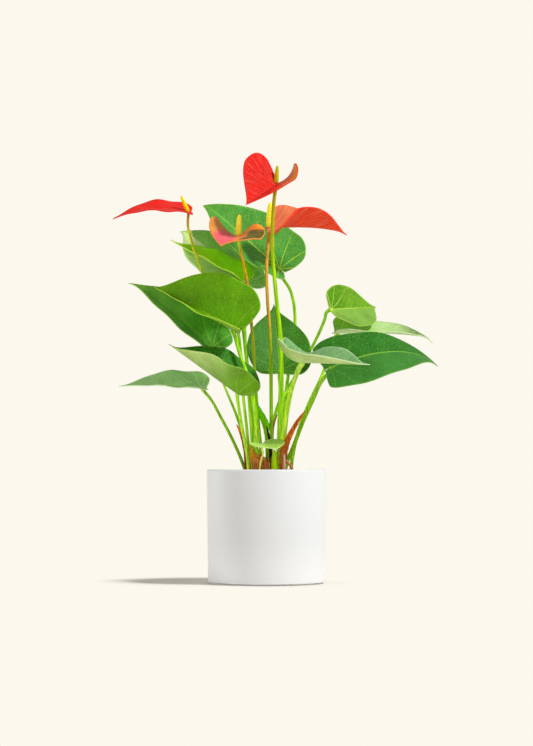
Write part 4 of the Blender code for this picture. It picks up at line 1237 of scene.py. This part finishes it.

# %% [markdown]
# ## The four blooms
#
# A bloom is a waxy red spathe with a yellow spadix standing on its joint. The spathe is a blade like a
# leaf's, a little thicker, and its skin is smoother, redder and finely ribbed. Three are red. The third is
# pink along its midrib and turns orange towards its edges, and the outer part of its left half is dark
# olive.

# %% Forms of the blooms
BLOOMS = {
    "1": dict(
        at=(0.0101, -0.015, 0.4234), length=0.066, width=0.083, back=0.008, lobe_at=0.64, widest=0.18,
        heading=238, pitch=-25, roll=25, fold=(35, 44), lobe_fold=(0, 2), curl=(12, 0),
        lobe_curl=(42, 0), wave=0.0004,
        radius=(0.0024, 0.0019),
        stalk=[(0.013, -0.011), (0.015, -0.012, 0.168), (0.016, -0.012, 0.209), (0.015, -0.013, 0.258),
               (0.010, -0.014, 0.307), (0.006, -0.015, 0.362), (0.008, -0.015, 0.405)],
        spadix=dict(towards=(0.08, -0.10, 1.0), length=0.019, radius=0.0026),
    ),
    "2": dict(
        at=(0.0032, 0.008, 0.3789), length=0.086, width=0.058, back=0.003, widest=(0.22, 0.50),
        full=(0.20, 0.45), lobe_at=0.2, heading=10, pitch=5, roll=-6, fold=(60, 50),
        lobe_fold=(0, -86), arch0=6, arch=14, hook=20, wave=0.0004,
        radius=(0.0021, 0.0016),
        stalk=[(0.005, -0.003), (0.005, -0.002, 0.161), (0.005, 0.000, 0.196), (0.004, -0.001, 0.258),
               (0.001, -0.003, 0.304), (0.000, -0.003, 0.330), (0.001, 0.002, 0.353)],
        spadix=dict(towards=(0.03, -0.12, 1.0), length=0.027, radius=0.0041),
    ),
    "3": dict(
        at=(-0.0301, -0.025, 0.3653), length=0.054, width=0.066, back=0.012, lobe_at=0.7,
        widest=(0.12, 0.22), heading=250, pitch=-2, roll=0, fold=(0, 14), lobe_fold=(40, 0),
        curl=(-10, 70), lobe_curl=(-45, -10), arch0=14, arch=20, wave=0.0004,
        radius=(0.0020, 0.0015),
        stalk=[(-0.004, -0.009), (-0.009, -0.004, 0.173), (-0.012, 0.000, 0.215),
               (-0.014, 0.000, 0.254), (-0.017, -0.003, 0.285), (-0.021, -0.012, 0.321),
               (-0.027, -0.022, 0.350)],
        spadix=dict(towards=(0.06, -0.08, 1.0), length=0.024, radius=0.0037),
    ),
    "4": dict(
        at=(-0.0830, -0.010, 0.3936), length=0.082, width=0.050, back=0.004,
        heading=188, pitch=12, roll=18, fold=(8, 12), arch0=28, arch=12,
        radius=(0.0018, 0.0013),
        stalk=[(-0.017, 0.006), (-0.021, 0.006, 0.163), (-0.025, 0.006, 0.200),
               (-0.027, 0.004, 0.241), (-0.031, 0.003, 0.269), (-0.045, 0.001, 0.298),
               (-0.067, -0.002, 0.328), (-0.075, -0.009, 0.348), (-0.080, -0.011, 0.364),
               (-0.0835, -0.011, 0.379)],
        spadix=dict(towards=(-0.45, -0.10, 1.0), length=0.019, radius=0.0023),
    ),
}


# %% [markdown]
# The skin of a spathe uses the same vein pattern, closer and more slanted, because a
# spathe's veins run in long arches from the joint to the tip. They are a shade paler than
# the red. A thin coat gives the wax.

# %% Paint a spathe's skin
SHADOWED_SPATHE = (0.90, 0.80, 0.80)
SUNLIT_SPATHE = (1.08, 1.20, 1.20)


def spathe_skin(name, colour, vein, rim, show, bands=(), raised=False):
    """One face of a spathe: its colour, fine arching veins, its rim and a waxy coat. A band is
    (side, out from, out to, colour, along from, along to): that side turns to the colour
    between two distances from the midrib and two from the joint, as shares of the length."""
    skin = Finish(name, roughness=0.40, Specular_IOR_Level=0.06, Coat_Weight=0.015, Coat_Roughness=0.2)
    skin.set("Specular Tint", (1.0, 0.45, 0.35))
    parts = vein_pattern(skin, thin=0.006, pitch=0.070, lean=1.25, curl=0.9, fan_gap=0.14)
    red = colour
    right = skin.sum("SUBTRACT", 1.0, parts["left"])
    for side, start, end, tone, near, away in bands:
        half = parts["left"] if side == "left" else right
        share = skin.sum("MULTIPLY", skin.step(parts["out"], start, end), half)
        share = skin.sum("MULTIPLY", skin.step(parts["along"], near, away), share)
        red = skin.mix(share, red, tone)
    mottle = skin.noise(skin.place(), scale=60.0)
    red = skin.tinted(red, skin.mix(skin.step(mottle, 0.3, 0.7), SHADOWED_SPATHE, SUNLIT_SPATHE))
    red = skin.mix(skin.step(parts["streaks"], 0.46, 0.68, 0.0, 0.40), red, vein)
    for mask, share, paint in (("veins", show, vein), ("rib", 0.4, vein), ("border", 0.8, rim)):
        red = skin.over(red, paint, parts[mask], share)
    skin.set("Base Color", red)
    relief = ribbed(skin, parts, raised, side_veins=0.7, streaks=0.4, strength=0.55, depth=0.0006)
    skin.set("Normal", skin.bump(mottle, strength=0.15, distance=0.001, under=relief))
    return skin.material


# %% [markdown]
# ## Spadix
#
# The spadix is a blunt spike covered with hundreds of tiny florets, packed in a diamond
# pattern. It starts as a sphere with many rings, drawn out into the spike by code. Two
# waves that cross at an angle raise one small dome for each floret. The height of the
# domes is kept as an attribute, so that the floret tips can be painted lighter than the
# grooves between them.

# %% Model and paint a spadix
FLORETS_AROUND = 16
FLORET_ROWS = 26
FLORET_DEPTH = 0.10
SPADIX_TAPER = 0.32
SPADIX_FOOT = 0.52
SPADIX_FILLED_AT = 0.16


def add_spadix(name, spadix, foot):
    """A spike of small florets that stands on the spathe's joint."""
    bpy.ops.object.select_all(action="DESELECT")
    bpy.ops.mesh.primitive_uv_sphere_add(segments=96, ring_count=120, radius=1.0, location=(0.0, 0.0, 0.0))
    spike = named(name)
    ball = points_of(spike.data)
    share = np.arccos(np.clip(-ball[:, 2], -1.0, 1.0)) / np.pi
    angle = np.arctan2(ball[:, 1], ball[:, 0])
    column = FLORETS_AROUND * angle / (2 * np.pi)
    row = FLORET_ROWS * share / 2
    dome = np.cos(np.pi * (column / 2 + row)) ** 2 * np.cos(np.pi * (column / 2 - row)) ** 2
    dome += np.sin(np.pi * (column / 2 + row)) ** 2 * np.sin(np.pi * (column / 2 - row)) ** 2
    filled = np.clip(share / SPADIX_FILLED_AT, 0, 1)
    foot_taper = (SPADIX_FOOT + (1 - SPADIX_FOOT) * np.sin(0.5 * np.pi * filled)) * (share > 0)
    width = spadix["radius"] * foot_taper * (1 - SPADIX_TAPER * share) * np.sqrt(1 - share**7)
    reach = width * (1.0 + FLORET_DEPTH * (dome - 0.5))
    ends = np.hypot(ball[:, 0], ball[:, 1]) < 1e-5
    reach[ends] = 0.0
    move_points(spike.data, around_axis(reach, angle, spadix["length"] * share))
    tips = spike.data.attributes.new("floret", "FLOAT", "POINT")
    tips.data.foreach_set("value", dome)
    turn = Vector(spadix["towards"]).to_track_quat("Z", "Y").to_matrix().to_4x4()
    spike.matrix_world = Matrix.Translation(foot) @ turn
    apply_all(spike)
    return spike


def spadix_skin(name, groove, tip, fleck):
    """Yellow florets with darker grooves between them and flecks of another shade on them."""
    skin = Finish(name, roughness=0.6, Specular_IOR_Level=0.06)
    skin.set("Specular Tint", (1.0, 0.9, 0.4))
    floret = skin.node("Attribute", attribute_name="floret").outputs["Fac"]
    speck = skin.noise(skin.place(), scale=1400.0, detail=2.0)
    colour = skin.mix(skin.step(floret, 0.15, 0.75), groove, tip)
    skin.set("Base Color", skin.mix(skin.step(speck, 0.5, 0.8, 0.0, 0.6), colour, fleck))
    skin.set("Normal", skin.bump(speck, strength=0.4, distance=0.0003))
    return skin.material


# %% Colours of the blooms
SPATHES = {
    "1": dict(
        top=(0.62, 0.003, 0.001), under=(0.60, 0.06, 0.01), vein=(0.80, 0.20, 0.15), rim=(0.66, 0.02, 0.01),
        show=0.28,
        bands=[("left", 0.26, 0.42, (0.72, 0.12, 0.008), -1.0, -0.9),
               ("left", 0.44, 0.56, (0.60, 0.26, 0.004), -1.0, -0.9)],
    ),
    "2": dict(
        top=(0.64, 0.15, 0.06), under=(0.94, 0.035, 0.010), vein=(0.96, 0.36, 0.20), rim=(0.98, 0.06, 0.02),
        bands=[("left", 0.10, 0.30, (0.70, 0.42, 0.04), 0.10, -0.06)], show=0.45,
    ),
    "3": dict(
        top=(0.80, 0.09, 0.12), under=(0.34, 0.15, 0.003), vein=(0.76, 0.30, 0.20), rim=(0.86, 0.28, 0.06),
        show=0.16,
        bands=[("left", 0.12, 0.24, (0.94, 0.28, 0.008), -1.0, -0.9),
               # This band paints the outer part of the left half a dark olive, except behind the joint.
               ("left", 0.20, 0.32, (0.075, 0.095, 0.001), -0.07, 0.04),
               ("right", 0.24, 0.38, (0.56, 0.25, 0.02), -1.0, -0.9)],
    ),
    "4": dict(
        top=(0.70, 0.003, 0.001), under=(0.66, 0.03, 0.01), vein=(0.84, 0.12, 0.08), rim=(0.74, 0.02, 0.01),
        show=0.25,
    ),
}
SPADICES = {
    "1": dict(groove=(0.38, 0.33, 0.001), tip=(0.62, 0.60, 0.001), fleck=(0.62, 0.62, 0.002)),
    "2": dict(groove=(0.80, 0.66, 0.010), tip=(1.0, 0.97, 0.050), fleck=(1.0, 0.98, 0.26)),
    "3": dict(groove=(0.92, 0.76, 0.015), tip=(1.0, 0.97, 0.080), fleck=(1.0, 0.98, 0.30)),
    "4": dict(groove=(0.56, 0.46, 0.002), tip=(0.88, 0.82, 0.002), fleck=(0.95, 0.90, 0.02)),
}
GREEN_FOOT = (0.12, (0.48, 0.78, 0.040))
FLOWER_STALKS = {
    "1": [GREEN_FOOT, (0.20, (0.34, 0.74, 0.003)), (0.33, (0.27, 0.52, 0.002)), (0.38, (0.44, 0.40, 0.006)),
          (0.42, (0.46, 0.30, 0.010))],
    "2": [GREEN_FOOT, (0.19, (0.28, 0.58, 0.004)), (0.25, (0.28, 0.38, 0.008)),
          (0.29, (0.50, 0.30, 0.022)), (0.37, (0.60, 0.30, 0.036))],
    "3": [GREEN_FOOT, (0.20, (0.20, 0.50, 0.010)), (0.25, (0.30, 0.36, 0.010)), (0.31, (0.55, 0.25, 0.012)),
          (0.345, (0.52, 0.28, 0.012)), (0.362, (0.60, 0.66, 0.030))],
    "4": [GREEN_FOOT, (0.28, (0.28, 0.56, 0.008)), (0.33, (0.44, 0.52, 0.020)), (0.37, (0.50, 0.46, 0.012)),
          (0.39, (0.50, 0.24, 0.016))],
}

# %% [markdown]
# Another loop makes every bloom: the spathe, the stalk under its joint and the spadix on
# it. The stalk and the spadix stop a hair's breadth short of the spathe, as the solids do.

# %% Make the blooms
for number, own in BLOOMS.items():
    form = {**BLADE, **own}
    look = SPATHES[number]
    spathe = add_blade("spathe_blade_" + number, form, SPATHE_THICKNESS)
    paint = dict(vein=look["vein"], rim=look["rim"], show=look["show"])
    top = spathe_skin(f"spathe_{number}_top", look["top"], bands=look.get("bands", ()), **paint)
    under = spathe_skin(f"spathe_{number}_under", look["under"], raised=True, **paint)
    slot = "pale_spathe" if number == "3" else "spathe"
    finished(spathe, "spathe_" + number, slot, top, under)
    joint = Vector(form["at"])
    end_gap = SPATHE_THICKNESS / 2 + 2 * GAP
    arrive = (joint - Vector(form["stalk"][-1])).normalized()
    route = stalk_route([*form["stalk"], tuple(joint - 0.5 * end_gap * arrive)])
    stalk = add_tube("flower_stem_" + number, route, form["radius"], swell=0.12)
    stem_skin = stalk_skin(f"stem_{number}", FLOWER_STALKS[number])
    finished(stalk, "flower_stalk_" + number, "flower_stalk", stem_skin)
    axis = Vector(form["spadix"]["towards"]).normalized()
    spike = add_spadix("floret_spike_" + number, form["spadix"], joint + 0.6 * end_gap * axis)
    finished(spike, "spadix_" + number, "spadix", spadix_skin(f"spadix_{number}", **SPADICES[number]))
print("blooms:", len(BLOOMS))

# %% [markdown]
# ## The crown
#
# Where all the stalks meet, the plant shows its age: a brown fibrous stump, the pale
# green base of a sheath, dry papery bracts, a green bud and two cut stubs. They are
# small, but they are what makes the foot of the plant look grown and not assembled.

# %% Straps for the bracts
BRACT_THICKNESS = 0.0008
BRACT_CHANNEL = 0.22
BRACT_RAGGED = 0.06
BRACT_COLUMNS = 8
BRACTS = {
    "bract_long": dict(
        route=[(0.0172, -0.0265), (0.0172, -0.0265, 0.130), (0.0186, -0.0265, 0.142),
               (0.0225, -0.0265, 0.152), (0.0340, -0.026, 0.173), (0.0405, -0.025, 0.182)],
        widths=(0.005, 0.0075, 0.0085, 0.0062, 0.0040, 0.0008), slot="papery",
    ),
    "bract_left": dict(
        route=[(-0.0215, -0.0125), (-0.0225, -0.0125, 0.142), (-0.026, -0.013, 0.157),
               (-0.0315, -0.014, 0.168)],
        widths=(0.003, 0.0042, 0.0042, 0.0008), slot="papery",
    ),
    "bract_maroon": dict(
        route=[(0.0045, -0.0160), (0.0042, -0.0165, 0.140), (0.0025, -0.0170, 0.155),
               (0.000, -0.018, 0.166)],
        widths=(0.003, 0.003, 0.0025, 0.0008), slot="maroon",
    ),
    "bract_brown": dict(
        route=[(0.0060, 0.0040), (0.0060, 0.0040, 0.150), (0.0075, 0.0035, 0.168),
               (0.0112, 0.0030, 0.179)],
        widths=(0.0025, 0.0025, 0.0022, 0.0008), slot="papery",
    ),
    "sheath_wing": dict(
        route=[(0.0015, -0.0095), (0.000, -0.0095, 0.158), (-0.0008, -0.0098, 0.168),
               (-0.0048, -0.0098, 0.177), (-0.0100, -0.0095, 0.190)],
        widths=(0.003, 0.004, 0.0075, 0.0075, 0.0012), slot="petiole",
    ),
}


def add_strap(name, own):
    """A thin pointed bract that is hollow along its middle, with a slightly ragged edge."""
    route = stalk_route(own["route"])
    stations = len(route)
    along = np.linspace(0, len(own["widths"]) - 1, stations)
    widths = np.interp(along, range(len(own["widths"])), own["widths"])
    bpy.ops.object.select_all(action="DESELECT")
    bpy.ops.mesh.primitive_grid_add(x_subdivisions=BRACT_COLUMNS, y_subdivisions=stations - 1, size=2.0)
    strap = named(name)
    grid = points_of(strap.data)
    station = grid_steps(grid[:, 1], stations - 1)
    side = grid[:, 0]
    ragged = 1.0 + BRACT_RAGGED * np.sin(5.1 * station + 2.0 * np.sign(side)) * np.abs(side)
    width = widths[station] * ragged
    places = route[station]
    places[:, 0] += 0.5 * side * width
    places[:, 1] -= BRACT_CHANNEL * side**2 * width
    move_points(strap.data, places)
    thicken(strap, BRACT_THICKNESS)
    apply_all(strap)
    return strap


# %% [markdown]
# A husk is streaked lengthwise like a stalk, but coarser and duller, and its colour
# changes only once on the way up.

# %% Paint the bracts
HUSK_GAPS = (0.55, 0.48, 0.42)
FIBROUS = (0.30, 0.14, 0.08)


def husk_skin(name, low, high, edge_from, edge_to, gaps=HUSK_GAPS):
    """A dry or fresh husk: streaked lengthwise, changing colour with height. Its gaps are the
    dark streaks, given as shares of the colour."""
    skin = Finish(name, roughness=0.68, Specular_IOR_Level=0.08)
    streaks = skin.noise(skin.place(scale=(1.0, 1.0, 0.12)), scale=1100.0, detail=4.0, rough=0.65)
    colour = skin.mix(skin.step(skin.height(), edge_from, edge_to), low, high)
    dark = skin.tinted(colour, gaps)
    skin.set("Base Color", skin.mix(skin.step(streaks, 0.35, 0.70), dark, colour))
    skin.set("Normal", skin.bump(streaks, strength=0.6, distance=0.0005))
    return skin.material


HUSKS = {
    "bract_long": husk_skin("husk_long", (0.85, 0.30, 0.06), (0.98, 0.27, 0.025), 0.134, 0.150, FIBROUS),
    "bract_left": husk_skin("husk_left", (0.50, 0.07, 0.03), (0.95, 0.26, 0.05), 0.150, 0.163),
    "bract_maroon": husk_skin("husk_maroon", (0.05, 0.012, 0.010), (0.045, 0.004, 0.008), 0.13, 0.16),
    "bract_brown": husk_skin("husk_brown", (0.45, 0.22, 0.08), (0.58, 0.24, 0.09), 0.14, 0.175),
    "sheath_wing": husk_skin("sheath_green", (0.30, 0.80, 0.004), (0.20, 0.80, 0.002), 0.15, 0.19),
}
for name, own in BRACTS.items():
    finished(add_strap(name + "_husk", own), name, own["slot"], HUSKS[name])
print("bracts:", len(BRACTS))

# %% [markdown]
# The stump, the sheath's base, the bud and the pale stub are all short knobs. Each starts
# as a sphere, which code draws out upwards and ribs. The stump's ribs are deep, like
# old fibre, and the bud's are faint.

# %% Knobs of the crown
STUMPS = {
    "crown": dict(
        foot=(-0.0060, -0.0292), top=0.1345, radii=(0.0095, 0.0036), blunt=6, taper=0.15,
        ridges=7, relief=0.08, slot="crown",
    ),
    "sheath_base": dict(
        foot=(-0.0107, -0.0215), top=0.1440, radii=(0.0056, 0.0028), blunt=6, taper=0.15,
        ridges=3, relief=0.03, slot="petiole",
    ),
    "bud": dict(
        foot=(0.0085, -0.0245), top=0.1415, radii=(0.0048, 0.0036), blunt=2, taper=0.20,
        ridges=3, relief=0.03, slot="bud",
    ),
    "stub_pale": dict(
        foot=(0.0188, -0.0345), top=0.1370, radii=(0.0015, 0.0015), blunt=6, taper=0.10,
        ridges=2, relief=0.05, slot="pale_wood",
    ),
}


def add_knob(name, own, fine_ridges, fine_relief):
    """A short stump that narrows upwards, with its ridges and finer fibres between them."""
    bpy.ops.object.select_all(action="DESELECT")
    bpy.ops.mesh.primitive_uv_sphere_add(segments=64, ring_count=48, radius=1.0, location=(0.0, 0.0, 0.0))
    knob = named(name)
    ball = points_of(knob.data)
    height = own["top"] - HOLE_BOTTOM - GAP
    share = 0.5 * (1 + ball[:, 2])
    angle = np.arctan2(ball[:, 1], ball[:, 0])
    width = np.sqrt(np.clip(1 - np.abs(ball[:, 2]) ** own["blunt"], 0, 1)) * (1 - own["taper"] * share)
    width *= 1 + own["relief"] * np.cos(own["ridges"] * angle + 5 * share)
    width *= 1 + fine_relief * np.cos(fine_ridges * angle + 9 * np.sin(6 * share))
    rise = HOLE_BOTTOM + GAP + height * share
    move_points(knob.data, around_axis(width, angle, rise, own["foot"], own["radii"]))
    bpy.ops.object.shade_smooth()
    return knob


# On the stump the dark streaks are partly its own dark old fibre and partly painted shade in the holes
# between the fibres.
DARK_FIBRE_AND_PAINTED_HOLE_SHADE = (0.16, 0.05, 0.03)
BUD_GAPS = (0.80, 0.85, 0.7)
KNOB_SKINS = {
    "crown": husk_skin("old_fibre", (0.80, 0.26, 0.12), (1.0, 0.46, 0.10), 0.120, 0.136, DARK_FIBRE_AND_PAINTED_HOLE_SHADE),
    "sheath_base": husk_skin("sheath_foot", (0.85, 0.30, 0.02), (0.44, 0.84, 0.04), 0.1345, 0.1370),
    "bud": husk_skin("bud_skin", (0.60, 0.98, 0.002), (0.66, 0.98, 0.03), 0.122, 0.140, BUD_GAPS),
    "stub_pale": husk_skin("pale_cut", (0.85, 0.55, 0.44), (0.92, 0.74, 0.66), 0.125, 0.136),
}
FIBRES = {"crown": (23, 0.07), "sheath_base": (17, 0.02), "bud": (9, 0.02), "stub_pale": (9, 0.04)}
for name, own in STUMPS.items():
    finished(add_knob(name + "_knob", own, *FIBRES[name]), name, own["slot"], KNOB_SKINS[name])
print("knobs:", len(STUMPS))

# %% [markdown]
# Round the stump stand loose fibres, the remains of old sheaths. One fibre is modelled, as
# a thin cone that is cut into rings and bent over, and then copied round the stump. Each
# copy has its own height, width and lean.

# %% Stand fibres round the stump
FIBRE_NUMBER = 110
FIBRE_CUTS = 6
FIBRE_BEND = 2.5
FIBRES_STAND_AT = 0.93
FIBRE_GAPS = (0.6, 0.5, 0.45)

bpy.ops.object.select_all(action="DESELECT")
bpy.ops.mesh.primitive_cone_add(vertices=7, radius1=1.0, radius2=0.35, depth=1.0, location=(0.0, 0.0, 0.5))
fibre = named("old_fibres")
bpy.ops.object.transform_apply(location=True, rotation=False, scale=False)
cut_into_rings(fibre, FIBRE_CUTS)
places = points_of(fibre.data)
places[:, 0] += FIBRE_BEND * places[:, 2] ** 2
move_points(fibre.data, places)
copies = copies_of(fibre, FIBRE_NUMBER)
stump = STUMPS["crown"]
for copy in copies:
    round_stump = scatter.uniform(0.0, 2 * math.pi)
    height = SOIL_TOP + scatter.uniform(-0.002, 0.010)
    copy.location = around_axis(FIBRES_STAND_AT, round_stump, height, stump["foot"], stump["radii"])
    copy.rotation_euler = (*scatter.uniform(-0.16, 0.16, 2), scatter.uniform(0.0, 2 * math.pi))
    thick = scatter.uniform(0.00022, 0.00050)
    copy.scale = (thick, thick, scatter.uniform(0.010, 0.018))
join_all(copies)
bpy.ops.object.shade_smooth()
fibre_skin = husk_skin("fibre_orange", (0.95, 0.36, 0.10), (1.0, 0.48, 0.09), 0.115, 0.134, FIBRE_GAPS)
finished(fibre, "crown", "crown", fibre_skin)
print("fibres:", FIBRE_NUMBER, "faces:", len(fibre.data.polygons))

# %% [markdown]
# The sheath's pale base stands in a torn orange collar, the rest of a dead sheath. It is
# an open ring, higher on the left, and its upper edge is ragged.

# %% Tear the collar
COLLAR_RADII = (0.0061, 0.0033)
COLLAR_FOOT = 0.1280
COLLAR_CUTS = 7
COLLAR_THICKNESS = 0.0004
COLLAR_LOW_SIDE = 0.0072
COLLAR_RISES = 0.0115
COLLAR_OPENS = 0.10
TORN_COARSE = 0.0011
TORN_FINE = 0.0005

bpy.ops.object.select_all(action="DESELECT")
bpy.ops.mesh.primitive_cylinder_add(vertices=72, radius=1.0, depth=2.0, end_fill_type="NOTHING")
collar = named("torn_collar")
cut_into_rings(collar, COLLAR_CUTS)
ring = points_of(collar.data)
angle = np.arctan2(ring[:, 1], ring[:, 0])
share = 0.5 * (1 + ring[:, 2])
rise = COLLAR_LOW_SIDE + COLLAR_RISES * (0.5 - 0.5 * np.cos(angle)) ** 3
torn = rise + TORN_COARSE * np.sin(9 * angle) * np.sin(4 * angle + 1.0) + TORN_FINE * np.sin(23 * angle)
spread = 1.0 + COLLAR_OPENS * share**2
height = COLLAR_FOOT + torn * share
move_points(collar.data, around_axis(spread, angle, height, STUMPS["sheath_base"]["foot"], COLLAR_RADII))
thicken(collar, COLLAR_THICKNESS)
apply_all(collar)
collar_skin = husk_skin("collar_orange", (0.80, 0.24, 0.03), (1.0, 0.46, 0.03), 0.126, 0.134, FIBROUS)
finished(collar, "sheath_base", "petiole", collar_skin)
print("collar faces:", len(collar.data.polygons))

# %% [markdown]
# The cut stub is the end of an old stalk that leans over. It is a short tube, like the
# stalks, in the colour of dried husk.

# %% Cut stub
CUT_STUB_ROUTE = [
    (0.0290, -0.0310), (0.0265, -0.0310, 0.1220), (0.0235, -0.0310, 0.1265), (0.0210, -0.0308, 0.1300),
]
CUT_STUB_RADIUS = (0.0014, 0.0013)
stub_route = stalk_route(CUT_STUB_ROUTE)
stub = add_tube("cut_stub_end", stub_route, CUT_STUB_RADIUS, swell=0.15, swell_length=0.004)
stub_skin = husk_skin("cut_stub_husk", (0.70, 0.26, 0.06), (0.92, 0.38, 0.07), 0.120, 0.130)
finished(stub, "cut_stub", "papery", stub_skin)
print("cut stub faces:", len(stub.data.polygons))

# %% [markdown]
# ## A lamp for the plant alone
#
# In the photograph the leaves that face left and forwards are as bright as the others,
# but the pot's left side is grey. No single lamp gives both. So a last large lamp stands
# in front on the left, and light linking lets it light the plant but not the pot or the
# floor.

# %% Light the leaves
leaf_lamp = add_lamp("leaf_lamp", place=(-1.2, -1.7, 0.70), aim=(0.0, 0.0, 0.25), size=1.0, power=8.5)
lit = bpy.data.collections.new("lit_by_leaf_lamp")
for piece in scene.objects:
    if piece.type == "MESH" and piece not in (floor, pot):
        lit.objects.link(piece)
leaf_lamp.light_linking.receiver_collection = lit
